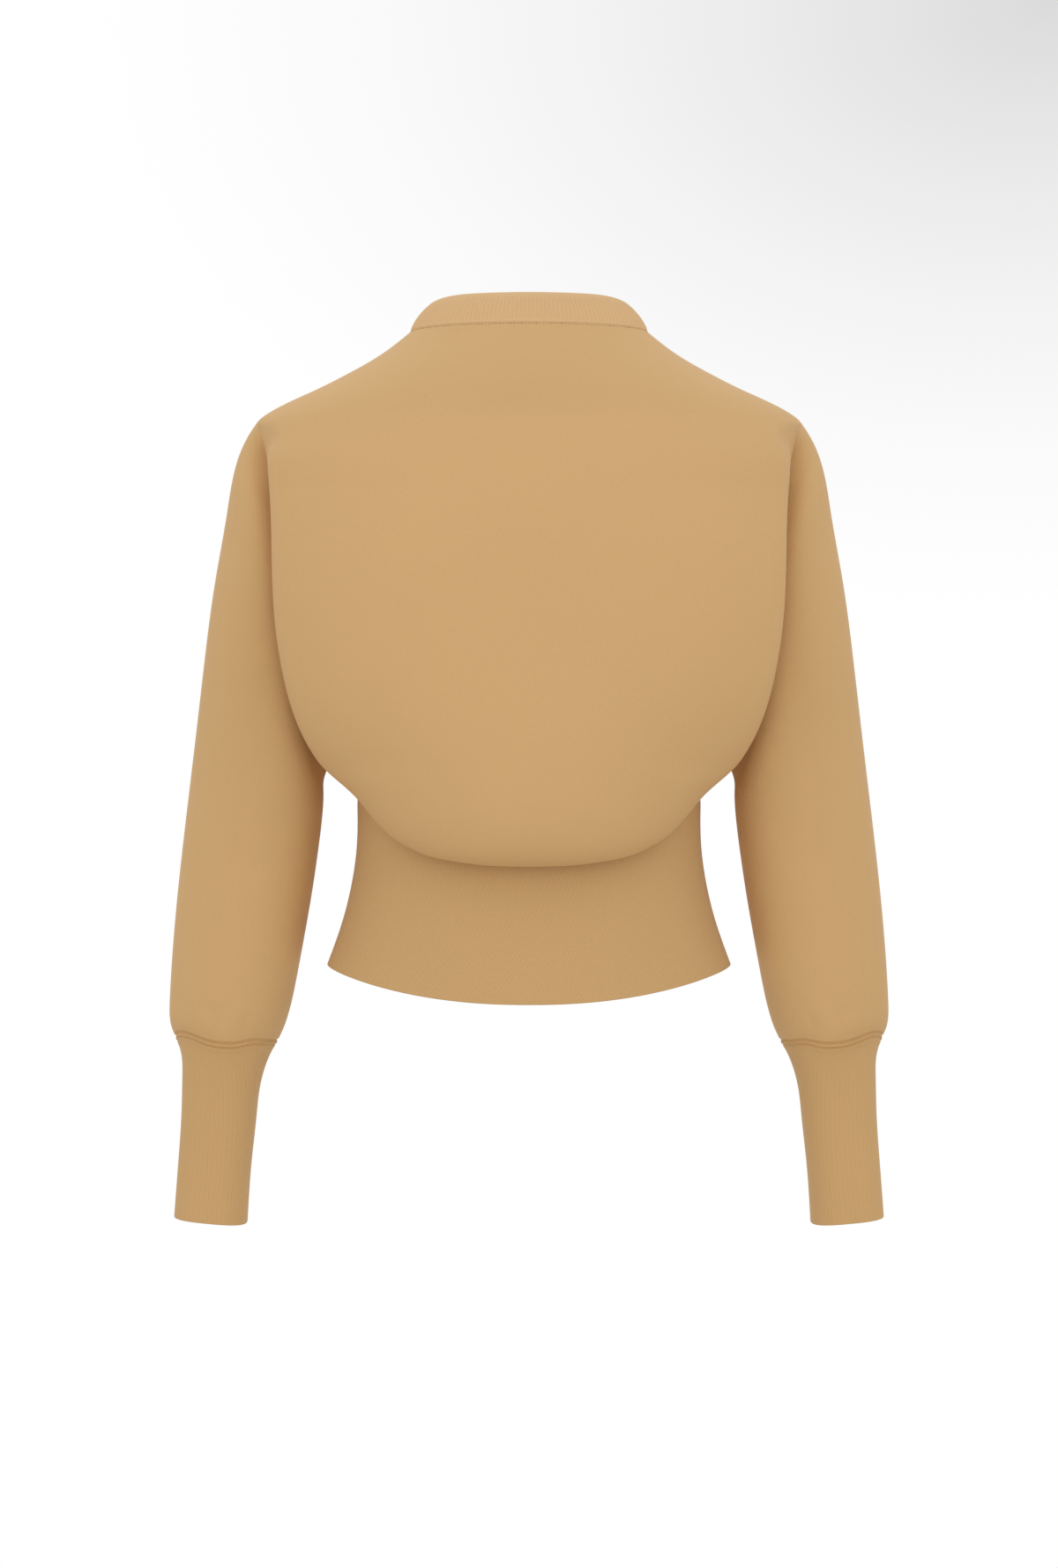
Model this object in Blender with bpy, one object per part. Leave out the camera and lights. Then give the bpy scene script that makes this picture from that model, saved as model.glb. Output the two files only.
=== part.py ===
"""A knitted cardigan with a blousing back, hollow and filled out as worn.

Every cloth piece is a grid of points, worked out from tables of heights, half widths and depths in
millimetres. Grids that are sewn together share their edge points. Each grid is then parted from its
neighbours at the seams and given a wall. +Z is up, the front faces -Y and the wearer's left is +X.
The origin is the middle of the neck's base.
"""

import math

import bmesh
import bpy
import numpy as np

MM = 0.001
WALL = 1.8
SEAM_GAP = 0.4
NEAR = 0.05  # points closer than this are one point of a seam
SMOOTH_SEAM = math.cos(math.radians(75))  # across a flatter seam both walls share one direction
SHARPEST_MITRE = 2.2

# Columns: height, half_width, depth. The back panel's outline from the neck point, along the
# shoulder seam, down the fold beside the sleeve and round the bag's lower edge to its middle.
BACK_OUTLINE = [
    (-5, 86, 1), (-19, 107, 1), (-38, 141, 1), (-58, 182, 1), (-70, 197, 5), (-84, 191, 34),
    (-105, 186, 56), (-131, 183.5, 70), (-165, 181.5, 80), (-215, 180, 85), (-242, 176, 86),
    (-265, 170.5, 84), (-290, 161.5, 77), (-308, 152.5, 67), (-321, 145, 58), (-334, 131, 68),
    (-343, 120, 77), (-355, 107, 86), (-369, 91.5, 93), (-378.5, 78, 98.5), (-385, 60, 103.5),
    (-389.5, 35, 107.5), (-391, 0, 109),
]
# Columns: height, depth, down the middle of the back from the collar to the bag's lower edge.
BACK_MIDDLE = [
    (-5, 58), (-38, 80), (-80, 98), (-131, 113), (-215, 126), (-285, 131.5), (-335, 131.5),
    (-362, 128), (-377, 122.5), (-387, 115.5), (-391, 109),
]
# The front panels' outline and middle line, in the same columns.
FRONT_OUTLINE = [
    (-5, 86, 1), (-19, 107, 1), (-38, 141, 1), (-58, 182, 1), (-70, 197, -4), (-84, 190, -28),
    (-105, 184, -43), (-131, 180.5, -54), (-165, 178.5, -62), (-215, 176, -67), (-265, 167, -68),
    (-290, 158.5, -64), (-308, 150, -57), (-321, 142, -50), (-333, 128, -58), (-345, 111, -68),
    (-357, 92, -76.5), (-366, 70, -83.5), (-372, 40, -89), (-374, 0, -91.5),
]
FRONT_MIDDLE = [
    (-5, -22), (-30, -46), (-66, -71), (-100, -86), (-150, -100), (-215, -109), (-285, -112.5),
    (-325, -112), (-348, -108.5), (-362, -103.5), (-371, -97), (-374, -91.5),
]
# Columns: height, half_width, along the shoulder seam, from the neck point to the armhole.
SHOULDER_SEAM = [(-5, 86), (-19, 107), (-38, 141), (-58, 182), (-70, 197)]
# Columns: side_height, back_drop, front_drop. How far each row hangs lower in the middle.
ROW_DROP = [
    (-5, 1, 61), (-38, 4, 46), (-70, 8, 32), (-131, 14, 16), (-200, 24, 12), (-265, 42, 26),
    (-300, 59, 42), (-321, 70, 53),
]
NECK_ROW_ROUND = 2.2  # how round the front neckline is
LOWEST_SHOULDER = -70
UNDERARM = -320
SHOULDER_ROWS = 4
ARMHOLE_ROWS = 11
UNDER_ROWS = 4
STRIP_COLUMNS = 3  # between the armhole seam and the fold
PANEL_COLUMNS = 8  # between the fold and the panel's middle

# The bend of the cloth under the bag. The shares are of its run inward and of its rise: how far it
# sets off inward in the middle and at the side seam, and how it comes up to the waist seam.
UNDER = dict(inward_middle=0.5, inward_side=0.2, sag=2, side_drop=0.4, inward_seam=0.42,
             below_seam=0.3)

# The armhole: a loop that leans out at the shoulder and in under the arm. Each lean grows with a
# power of the height above or below its middle, and roundness is how blunt the loop's ends are.
ARMHOLE = dict(top_x=197, middle_x=166, under_x=146, centre_y=1, half_back=51, half_front=47,
               lean_out=2, lean_in=1.5, roundness=0.8)

# The fold beside the sleeve: how far below the shoulder it starts and how soon it is full, then how
# the strip inside it bows out and is pulled at its seam and at the fold, as shares of its depth.
FOLD = dict(starts=8, full_after=26, bow=0.12, less_under_arm=0.22, pull_seam=0.35, pull_fold=0.42)

# Columns: outer_x, outer_z, inner_x, inner_z, centre_y, half_depth, from armhole to cuff seam.
SLEEVE = [
    (197, -70, 146, -320, 1, 49), (211, -98, 149, -329, 1, 50), (219, -138, 149.5, -340, 0, 50),
    (227, -184, 150.5, -356, -1, 49), (235, -242, 153.5, -380, -3, 47),
    (242, -300, 158, -410, -5, 45), (250, -365, 164, -444, -7, 43), (258, -440, 171.5, -483, -9, 41),
    (261.3, -490, 176, -502, -10, 39), (260.3, -510, 180, -515, -10, 36),
    (255.5, -518, 185, -523, -10, 33),
]
SLEEVE_RINGS = 12
ARMHOLE_FADES_BY = 0.35  # the share of the sleeve along which the armhole's lean fades

# Columns: outer_x, outer_z, inner_x, inner_z, centre_y, half_depth, from cuff seam to cuff edge.
CUFF = [
    (255.5, -518, 185, -523, -10, 33), (253, -531, 190.5, -535, -10.5, 29),
    (252.5, -545, 195.5, -549, -11, 26.5), (253.2, -570, 199, -574, -12, 25),
    (255.7, -606, 203, -610, -14, 24.5), (259, -647, 206, -652, -16, 25),
]
CUFF_RINGS = 6

# Columns: side_height, half_width, back_depth, front_depth, back_drop, front_drop.
WAISTBAND = [
    (-343, 124.5, 92, 85, 9, 9), (-375, 124.7, 93, 86, 11, 5), (-403, 128.3, 96, 89, 14, 2),
    (-432, 135.4, 101, 93, 18, -1), (-462, 146, 106, 97, 22, -4),
]
WAISTBAND_ROWS = 5
WAIST_ROUND = 2.2

COLLAR_RISE = 23.5
COLLAR_LEAN = 0.17  # the share by which the collar's top edge is narrower than its seam
COLLAR_ROWS = 2

BAND_EDGE = 15  # the front panels end at this distance from the middle
BAND_LAP = 12  # each band's free edge reaches this far across
BAND_STEP_WIDTH = 2.5  # the upper band rises over the lower one along this width
BAND_GAP = 0.5
BAND_LIFT = WALL + BAND_GAP
BRIDGED_ROWS = 2  # the bands pass straight over the deepest rows of the fold above the waistband

BUTTON_RADIUS = 7.5
BUTTON_HEIGHT = 3.2
BUTTON_SIDES = 16
BUTTON_GAP = 0.5  # between a button's back and the band
# Columns: share of the radius, share of the height, from the back over the rim to the dished middle.
BUTTON_PROFILE = [
    (0.72, 0), (0.95, 0.22), (1, 0.55), (0.93, 0.9), (0.82, 1), (0.68, 0.86), (0.6, 0.7),
]
BUTTON_CENTRES = [-56, -108, -160, -212, -264, -316, -392, -440]  # heights down the front

JERSEY = (0.60, 0.36, 0.16)
RIB = (0.62, 0.38, 0.18)
RESIN = (0.36, 0.22, 0.10)
CLOTH_ROUGHNESS = 0.9
RESIN_ROUGHNESS = 0.35


# ---------------------------------------------------------------- curves and tables


def smooth(knots, values, at):
    """A natural cubic spline through the values at the knots."""
    knots, values, at = (np.asarray(part, float) for part in (knots, values, at))
    step = np.diff(knots)
    slope = (np.diff(values, axis=0).T / step).T
    system = np.eye(len(knots))
    bend = np.zeros_like(values)
    for i in range(1, len(knots) - 1):
        system[i, i - 1 : i + 2] = step[i - 1], 2 * (step[i - 1] + step[i]), step[i]
        bend[i] = 6 * (slope[i] - slope[i - 1])
    bend = np.linalg.solve(system, bend)
    i = np.clip(np.searchsorted(knots, at) - 1, 0, len(step) - 1)
    after = (at - knots[i]) / step[i]
    before = 1 - after
    pull_before = (before**3 - before) * step[i] ** 2 / 6
    pull_after = (after**3 - after) * step[i] ** 2 / 6
    return (before * values[i].T + after * values[i + 1].T + pull_before * bend[i].T
            + pull_after * bend[i + 1].T).T


def along(points, count):
    """`count` points along the smooth curve through the given ones, by their own spacing."""
    points = np.asarray(points, float)
    knots = np.r_[0, np.cumsum(np.linalg.norm(np.diff(points, axis=0), axis=1))]
    return smooth(knots, points, np.linspace(0, knots[-1], count))


def falling(table, at, column):
    """A column of a finely sampled table whose first column falls, read at a height."""
    return np.interp(-np.asarray(at), -table[:, 0], table[:, column])


def bezier(start, pull_start, pull_end, end, share):
    share = np.asarray(share)[:, None]
    rest = 1 - share
    return (rest**3 * start + 3 * rest**2 * share * pull_start
            + 3 * rest * share**2 * pull_end + share**3 * end)


def ease(share):
    share = np.clip(share, 0, 1)
    return share * share * (3 - 2 * share)


# ---------------------------------------------------------------- the body's panels


def armhole_point(angle, facing):
    """A point of the armhole loop, from the shoulder (0) to the underarm (pi)."""
    high = math.cos(angle)
    if high > 0:
        x = ARMHOLE["middle_x"] + (ARMHOLE["top_x"] - ARMHOLE["middle_x"]) * high ** ARMHOLE["lean_out"]
    else:
        lean = (-high) ** ARMHOLE["lean_in"]
        x = ARMHOLE["middle_x"] - (ARMHOLE["middle_x"] - ARMHOLE["under_x"]) * lean
    half = ARMHOLE["half_back"] if facing > 0 else ARMHOLE["half_front"]
    y = ARMHOLE["centre_y"] + facing * half * max(math.sin(angle), 0) ** ARMHOLE["roundness"]
    z = (LOWEST_SHOULDER + UNDERARM) / 2 + (LOWEST_SHOULDER - UNDERARM) / 2 * high
    return np.array([x, y, z])


def shoulder_point(height):
    heights, widths = np.array(SHOULDER_SEAM, float).T
    return np.array([smooth(-heights, widths, -height), ARMHOLE["centre_y"], height])


def waist_point(turn, row, facing):
    """A point of the waistband: turn 0 at the side, a quarter turn in the middle."""
    side, half_width, back, front, back_drop, front_drop = row
    depth, drop = (back, back_drop) if facing > 0 else (front, front_drop)
    share = 2 / WAIST_ROUND
    x = half_width * max(math.cos(turn), 0) ** share
    y = facing * depth * max(math.sin(turn), 0) ** share
    return np.array([x, y, side - drop * math.sin(turn) ** 2])


def waist_rows():
    """The waistband's table, read at evenly spaced heights."""
    table = np.array(WAISTBAND, float)
    heights = np.linspace(table[0, 0], table[-1, 0], WAISTBAND_ROWS + 1)
    return smooth(-table[:, 0], table, -heights)


def turn_at(x, half_width):
    """The turn at which the waistband is x from the middle."""
    return math.acos((abs(x) / half_width) ** (WAIST_ROUND / 2))


class Panel:
    """One side of the body, back (facing 1) or front (facing -1), as a surface over its outline."""

    def __init__(self, outline, middle, facing):
        self.facing = facing
        self.outline = along(outline, 600)
        self.middle = along(middle, 300)
        self.bag_corner = falling(self.outline, UNDERARM - 1, 1)
        self.bag_drop = UNDERARM - 1 - self.outline[-1, 0]

    def surface(self, x, z):
        """The point of the blousing surface at a width and a height."""
        half_width = max(falling(self.outline, z, 1), 0.5)
        edge = falling(self.outline, z, 2)
        middle = falling(self.middle, z, 1)
        flatness = np.interp(-z, [5, 80], [2.0, 2.6])
        across = min(abs(x) / half_width, 1)
        y = edge + (middle - edge) * (1 - across**flatness) ** 0.5
        return np.array([x, y, z])

    def bag_edge(self, across):
        """The share of the bag's drop at a share of its width: 1 in the middle, 0 at its corner."""
        lower = self.outline[self.outline[:, 0] <= UNDERARM - 1][::-1]
        z = np.interp(across * self.bag_corner, lower[:, 1], lower[:, 0])
        return (UNDERARM - 1 - z) / self.bag_drop

    def row_point(self, side_z, x):
        """The surface point at x on the row that starts at a height beside the sleeve."""
        side_z = max(side_z, UNDERARM - 1)
        edge_x = falling(self.outline, side_z, 1)
        across = min(abs(x) / edge_x, 1)
        heights, back, front = np.array(ROW_DROP, float).T
        drop = smooth(-heights, back if self.facing > 0 else front, -side_z)
        neck = (1 - across**NECK_ROW_ROUND) ** 0.8
        lower = ease((LOWEST_SHOULDER - side_z) / (LOWEST_SHOULDER - UNDERARM))
        share = (1 - lower) * neck + lower * self.bag_edge(across)
        if side_z <= UNDERARM - 1:
            drop = self.bag_drop
        return self.surface(x, side_z - drop * share)

    def waist_turn(self, point):
        """The turn on the waistband that faces a point of the bag."""
        half_width, back, front = WAISTBAND[0][1:4]
        depth = back if self.facing > 0 else front
        return math.atan2(abs(point[1]) / depth, point[0] / half_width)

    def under(self, start, turn, side):
        """The cloth that turns under the bag from a point of its edge up to the waist seam.

        Side is 1 at the side seam and 0 from the fold to the middle."""
        end = waist_point(turn, WAISTBAND[0], self.facing)
        inward = (end - start) * [1, 1, 0]
        rise = end[2] - start[2]
        set_off = UNDER["inward_middle"] * (1 - side) + UNDER["inward_side"] * side
        sag = UNDER["sag"] * (1 - side) + UNDER["side_drop"] * max(-rise, 0)
        first = start + inward * set_off - [0, 0, sag]
        last = end - inward * UNDER["inward_seam"] - [0, 0, UNDER["below_seam"] * rise]
        return bezier(start, first, last, end, np.linspace(0, 1, UNDER_ROWS + 1)[1:])

    def column_in_middle(self, x):
        """A whole column, from neck to waist seam, at one distance from the middle."""
        rows = [self.row_point(z, x) for z in side_heights()]
        return np.vstack([rows, self.under(rows[-1], turn_at(x, WAISTBAND[0][1]), 0)])

    def column(self, number, last_x):
        """A whole column from neck to waist seam: number 0 is the seam at the side."""
        points, total = [], STRIP_COLUMNS + PANEL_COLUMNS
        heights = side_heights()
        for row, side_z in enumerate(heights):
            edge_x = falling(self.outline, max(side_z, UNDERARM - 1), 1)
            last_turn = math.acos(last_x / edge_x)
            overhang = ease((LOWEST_SHOULDER - FOLD["starts"] - side_z) / FOLD["full_after"])
            even = number / total
            folded = max(number - STRIP_COLUMNS, 0) / PANEL_COLUMNS
            turn = last_turn * ((1 - overhang) * even + overhang * folded)
            point = self.row_point(side_z, edge_x * math.cos(turn))
            if row >= SHOULDER_ROWS and number < STRIP_COLUMNS + 1:
                fold = self.row_point(side_z, edge_x)
                angle = math.pi * (row - SHOULDER_ROWS) / ARMHOLE_ROWS
                seam = armhole_point(angle, self.facing)
                share = number / STRIP_COLUMNS
                reach = self.facing * abs(fold[1] - seam[1])
                low = max(-math.cos(angle), 0)
                bow = abs(reach) * (FOLD["bow"] - FOLD["less_under_arm"] * low)
                pull_seam = seam + [bow, reach * FOLD["pull_seam"], 0]
                pull_fold = fold - [0, reach * FOLD["pull_fold"], 0]
                strip = bezier(seam, pull_seam, pull_fold, fold, [share])[0]
                joined = point + (seam - fold) * (1 - share)
                point = (1 - overhang) * joined + overhang * strip
            elif not number:
                point = shoulder_point(side_z)
            points.append(point)
        side = max(1 - number / STRIP_COLUMNS, 0)
        turn = self.waist_turn(points[-1]) if number else 0.0
        if number == total:
            turn = turn_at(last_x, WAISTBAND[0][1])
        return np.vstack([points, self.under(points[-1], turn, side)]), turn


def side_heights():
    shoulder = np.linspace(-5, LOWEST_SHOULDER, SHOULDER_ROWS + 1)
    arm = [armhole_point(math.pi * i / ARMHOLE_ROWS, 1)[2] for i in range(1, ARMHOLE_ROWS + 1)]
    return [float(z) for z in [*shoulder, *arm]]


def half_panel(panel, last_x):
    """(rows, columns, 3) from the side seam to the middle, and each column's turn at the waist."""
    made = [panel.column(k, last_x) for k in range(STRIP_COLUMNS + PANEL_COLUMNS + 1)]
    return np.stack([points for points, _ in made], axis=1), [turn for _, turn in made]


MIRROR = np.array([-1.0, 1.0, 1.0])


def whole(half):
    """A half grid and its mirror image as one, left to right."""
    return np.concatenate([half, half[:, -2::-1] * MIRROR], axis=1)


# ---------------------------------------------------------------- rings


def arm_ring(row, angles, armhole_share):
    """A ring round the arm. Angles run from the outer line over the back to the inner line and on."""
    outer_x, outer_z, inner_x, inner_z, centre_y, half_depth = row
    ring = []
    for angle in angles:
        along_ring, across = math.cos(angle), math.sin(angle)
        x = (outer_x + inner_x) / 2 + (outer_x - inner_x) / 2 * along_ring
        z = (outer_z + inner_z) / 2 + (outer_z - inner_z) / 2 * along_ring
        point = np.array([x, centre_y + half_depth * across, z])
        if armhole_share:
            facing = 1 if across >= 0 else -1
            seam = armhole_point(angle if facing > 0 else 2 * math.pi - angle, facing)
            start = SLEEVE[0]
            flat_x = (start[0] + start[2]) / 2 + (start[0] - start[2]) / 2 * along_ring
            flat_z = (start[1] + start[3]) / 2 + (start[1] - start[3]) / 2 * along_ring
            flat = np.array([flat_x, start[4] + start[5] * across, flat_z])
            point = point + (seam - flat) * armhole_share
        ring.append(point)
    return ring


def arm_rings(table, rings, with_armhole):
    rows = along(table, rings)
    angles = [2 * math.pi * i / (2 * ARMHOLE_ROWS) for i in range(2 * ARMHOLE_ROWS)]
    made = []
    for number, row in enumerate(rows):
        share = number / (rings - 1) / ARMHOLE_FADES_BY
        made.append(arm_ring(row, angles, 1 - ease(share) if with_armhole else 0))
    return np.array(made)


def waistband_grid(turns_back, turns_front):
    """The waistband from the left front edge round the back to the right front edge."""
    grid = []
    for row in waist_rows():
        last = turn_at(BAND_EDGE, row[1])
        front = [waist_point(t / turns_front[-1] * last, row, -1) for t in turns_front[::-1]]
        back = [waist_point(turn, row, 1) for turn in turns_back[1:]]
        half = np.array(front + back)
        grid.append(np.concatenate([half, half[-2::-1] * MIRROR]))
    return np.array(grid)


def collar_row(seam_row, share):
    """The collar at a share of its height above its seam."""
    narrower = 1 - COLLAR_LEAN * share
    return seam_row * [narrower, narrower, 1] + [0, 0, COLLAR_RISE * share]


def collar_grid(seam_row):
    return np.array([collar_row(seam_row, share) for share in np.linspace(1, 0, COLLAR_ROWS + 1)])


# ---------------------------------------------------------------- cloth from grids


class Cloth:
    """A grid of points that becomes one piece of cloth.

    Flip turns its outer side round, tube joins its last column to its first, and level is how far
    each column lies above the grid."""

    def __init__(self, name, points, flip=False, tube=False, level=0.0):
        self.name, self.points, self.flip, self.tube, self.level = name, points, flip, tube, level
        self.normals = self.outward()

    def steps(self):
        """The direction along the columns and along the rows at each point."""
        if self.tube:
            across = np.roll(self.points, -1, axis=1) - np.roll(self.points, 1, axis=1)
        else:
            across = np.gradient(self.points, axis=1)
        return across, np.gradient(self.points, axis=0)

    def outward(self):
        across, down = self.steps()
        normal = np.cross(down, across) * (-1 if self.flip else 1)
        return normal / np.linalg.norm(normal, axis=2, keepdims=True)

    def edge_points(self):
        """(row, column, direction into the cloth) of each point on an edge."""
        rows, columns = self.points.shape[:2]
        for i in range(rows):
            for j in range(columns):
                inward = np.zeros(3)
                if i == 0:
                    inward += unit(self.points[1, j] - self.points[0, j])
                if i == rows - 1:
                    inward += unit(self.points[-2, j] - self.points[-1, j])
                if not self.tube and j == 0:
                    inward += unit(self.points[i, 1] - self.points[i, 0])
                if not self.tube and j == columns - 1:
                    inward += unit(self.points[i, -2] - self.points[i, -1])
                if inward.any():
                    yield i, j, unit(inward)

    def mirrored(self, name):
        return Cloth(name, self.points * MIRROR, not self.flip, self.tube)

    def part(self, name, rows, columns):
        """The grid from one row to another and one column to another, as a piece of its own."""
        across = [j % self.points.shape[1] for j in range(columns[0], columns[1] + 1)]
        down = slice(rows[0], rows[1] + 1)
        piece = Cloth(name, self.points[down][:, across].copy(), self.flip)
        piece.normals = self.normals[down][:, across].copy()
        return piece


def body_parts(cloth, first_fold, last_fold):
    """A body piece as simpler nodes that bend one way each, so that collision can follow them.

    The folds are numbered columns. Each cut lies one column or row inside a fold, on the flat."""
    rows, columns = cloth.points.shape[:2]
    last_row, last_column = rows - 1, columns - 1
    bag_edge = SHOULDER_ROWS + ARMHOLE_ROWS - 1
    low_shoulder = SHOULDER_ROWS + 1
    name = cloth.name
    made = [cloth.part(name, (low_shoulder, bag_edge), (first_fold, last_fold)),
            cloth.part(name + "_shoulder", (0, low_shoulder), (0, last_column)),
            cloth.part(name + "_under", (bag_edge, last_row), (0, last_column))]
    fold_name = name + ("_fold_left" if last_fold < last_column else "_fold")
    made.append(cloth.part(fold_name, (low_shoulder, bag_edge), (0, first_fold)))
    if last_fold < last_column:
        made.append(cloth.part(name + "_fold_right", (low_shoulder, bag_edge), (last_fold, last_column)))
    return made


def arm_parts(cloth):
    """A sleeve as four quarter tubes: back and front of the upper and of the lower arm."""
    elbow, last = SLEEVE_RINGS // 2, SLEEVE_RINGS - 1
    half, full = ARMHOLE_ROWS, 2 * ARMHOLE_ROWS
    return [cloth.part(cloth.name + "_upper_back", (0, elbow), (0, half)),
            cloth.part(cloth.name + "_upper_front", (0, elbow), (half, full)),
            cloth.part(cloth.name + "_lower_back", (elbow, last), (0, half)),
            cloth.part(cloth.name + "_lower_front", (elbow, last), (half, full))]


def unit(vector):
    return vector / max(np.linalg.norm(vector), 1e-9)


def part_at_seams(pieces):
    """Moves each piece's edge points half the seam gap away from the pieces they are sewn to."""
    places, owners, inward, normals = [], [], [], []
    for piece in pieces:
        for i, j, direction in piece.edge_points():
            places.append(piece.points[i, j].copy())
            owners.append((piece, i, j))
            inward.append(direction)
            normals.append(piece.normals[i, j].copy())
    places, inward, normals = np.array(places), np.array(inward), np.array(normals)
    for number, (piece, i, j) in enumerate(owners):
        close = np.linalg.norm(places - places[number], axis=1) < NEAR
        others = [n for n in np.nonzero(close)[0] if owners[n][0] is not piece]
        if not others:
            continue
        apart = unit(inward[number] - np.mean(inward[others], axis=0))
        piece.points[i, j] = places[number] + apart * SEAM_GAP / 2
        alike = [n for n in others if normals[n] @ normals[number] > SMOOTH_SEAM]
        piece.normals[i, j] = unit(normals[number] + np.sum(normals[alike], axis=0))


def moved_out(piece, distance):
    """The grid's points moved out along its normals, further where the cloth is folded."""
    down = np.diff(piece.points, axis=0)
    down = down / np.linalg.norm(down, axis=2, keepdims=True)
    bend = np.ones(piece.points.shape[:2])
    bend[1:-1] = np.clip(np.sum(down[1:] * down[:-1], axis=2), -0.99, 1)
    mitre = np.minimum(np.sqrt(2 / (1 + bend)), SHARPEST_MITRE)
    return piece.points + piece.normals * (distance * mitre)[..., None]


def build(piece, colour):
    """Gives the cloth its wall and adds it to the scene as one closed object."""
    outer, inner = moved_out(piece, piece.level), moved_out(piece, piece.level - WALL)
    rows, columns = outer.shape[:2]
    mesh = bmesh.new()
    sides = [[[mesh.verts.new(point * MM) for point in row] for row in side] for side in (outer, inner)]
    last = columns if piece.tube else columns - 1
    for i in range(rows - 1):
        for j in range(last):
            after = (j + 1) % columns
            for side in sides:
                mesh.faces.new((side[i][j], side[i][after], side[i + 1][after], side[i + 1][j]))
    out, into = sides
    for i in (0, rows - 1):
        for j in range(last):
            after = (j + 1) % columns
            mesh.faces.new((out[i][j], out[i][after], into[i][after], into[i][j]))
    if not piece.tube:
        for j in (0, columns - 1):
            for i in range(rows - 1):
                mesh.faces.new((out[i][j], out[i + 1][j], into[i + 1][j], into[i][j]))
    add_object(piece.name, mesh, colour)


def add_object(name, mesh, colour, roughness=CLOTH_ROUGHNESS):
    bmesh.ops.recalc_face_normals(mesh, faces=mesh.faces)
    data = bpy.data.meshes.new(name)
    mesh.to_mesh(data)
    mesh.free()
    data.shade_smooth()
    data.set_sharp_from_angle(angle=math.radians(50))
    material = bpy.data.materials.new(name)
    material.use_nodes = True
    shader = material.node_tree.nodes["Principled BSDF"]
    shader.inputs["Base Color"].default_value = (*colour, 1)
    shader.inputs["Roughness"].default_value = roughness
    data.materials.append(material)
    thing = bpy.data.objects.new(name, data)
    bpy.context.collection.objects.link(thing)
    return thing


# ---------------------------------------------------------------- front bands and buttons


def band_columns(xs, front):
    """A band's grid down the middle of the front: collar, panel and waistband in one."""
    columns = []
    for x in xs:
        panel = front.column_in_middle(abs(x))[:-BRIDGED_ROWS] * [math.copysign(1, x), 1, 1]
        collar = collar_grid(panel[0])[:-1]
        band = []
        for row in waist_rows()[1:]:
            band.append(waist_point(turn_at(x, row[1]), row, -1) * [math.copysign(1, x), 1, 1])
        columns.append(np.vstack([collar, panel, band]))
    return np.stack(columns, axis=1)


def place_on(line, height):
    """The point of a line down the front at a height, and the direction straight out from it."""
    below = int(np.argmax(line[:, 2] <= height))
    above = below - 1
    share = (line[above, 2] - height) / (line[above, 2] - line[below, 2])
    point = line[above] + (line[below] - line[above]) * share
    return point, unit(np.cross([1.0, 0.0, 0.0], line[above] - line[below]))


def button(number, height, line):
    """A round button with a raised rim and a dished middle, turned about its own axis."""
    point, out = place_on(line, height)
    centre = point + out * (BAND_LIFT + BUTTON_GAP)
    side = np.array([1.0, 0.0, 0.0])
    up = np.cross(out, side)
    mesh = bmesh.new()
    rings = []
    for radius, rise in BUTTON_PROFILE:
        ring = []
        for i in range(BUTTON_SIDES):
            turn = 2 * math.pi * i / BUTTON_SIDES
            reach = (side * math.cos(turn) + up * math.sin(turn)) * radius * BUTTON_RADIUS
            ring.append(mesh.verts.new((centre + reach + out * rise * BUTTON_HEIGHT) * MM))
        rings.append(ring)
    for below, above in zip(rings, rings[1:]):
        for i in range(BUTTON_SIDES):
            after = (i + 1) % BUTTON_SIDES
            mesh.faces.new((below[i], below[after], above[after], above[i]))
    mesh.faces.new(rings[0])
    mesh.faces.new(rings[-1])
    add_object(f"button_{number}", mesh, RESIN, RESIN_ROUGHNESS)


# ---------------------------------------------------------------- the whole garment


for old in list(bpy.data.objects):
    bpy.data.objects.remove(old)

back_panel = Panel(BACK_OUTLINE, BACK_MIDDLE, 1)
front_panel = Panel(FRONT_OUTLINE, FRONT_MIDDLE, -1)
back_half, back_turns = half_panel(back_panel, 0)
front_half, front_turns = half_panel(front_panel, BAND_EDGE)

back = Cloth("back", whole(back_half))
front_left = Cloth("front_left", front_half, flip=True)
sleeve_left = Cloth("sleeve_left", arm_rings(SLEEVE, SLEEVE_RINGS, True), tube=True)
cuff_left = Cloth("cuff_left", arm_rings(CUFF, CUFF_RINGS, False), tube=True)
neck_half = np.vstack([front_half[0, ::-1], back_half[0, 1:]])
neck = np.vstack([neck_half, neck_half[-2::-1] * MIRROR])
collar = Cloth("collar", collar_grid(neck))
waistband = Cloth("waistband", waistband_grid(back_turns, front_turns))
lower_xs = np.linspace(BAND_EDGE, -BAND_LAP, 5)
upper_xs = np.r_[-BAND_EDGE, np.linspace(BAND_STEP_WIDTH - BAND_EDGE, BAND_LAP, 4)]
lower_band = Cloth("button_band", band_columns(lower_xs, front_panel), flip=True)
upper_levels = np.array([0.0] + [BAND_LIFT] * 4)
upper_band = Cloth("buttonhole_band", band_columns(upper_xs, front_panel), level=upper_levels)

fold = STRIP_COLUMNS + 1
body = body_parts(back, fold, back.points.shape[1] - 1 - fold)
body += body_parts(front_left, fold, front_left.points.shape[1] - 1)
body += body_parts(front_left.mirrored("front_right"), fold, front_left.points.shape[1] - 1)
jersey = body + arm_parts(sleeve_left) + arm_parts(sleeve_left.mirrored("sleeve_right"))
rib = [collar, waistband, cuff_left, cuff_left.mirrored("cuff_right"), lower_band, upper_band]
part_at_seams(jersey + rib)
for piece in jersey:
    build(piece, JERSEY)
for piece in rib:
    build(piece, RIB)

front_line = band_columns([0.0], front_panel)[:, 0]
for number, height in enumerate(BUTTON_CENTRES, 1):
    button(number, height, front_line)
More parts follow.
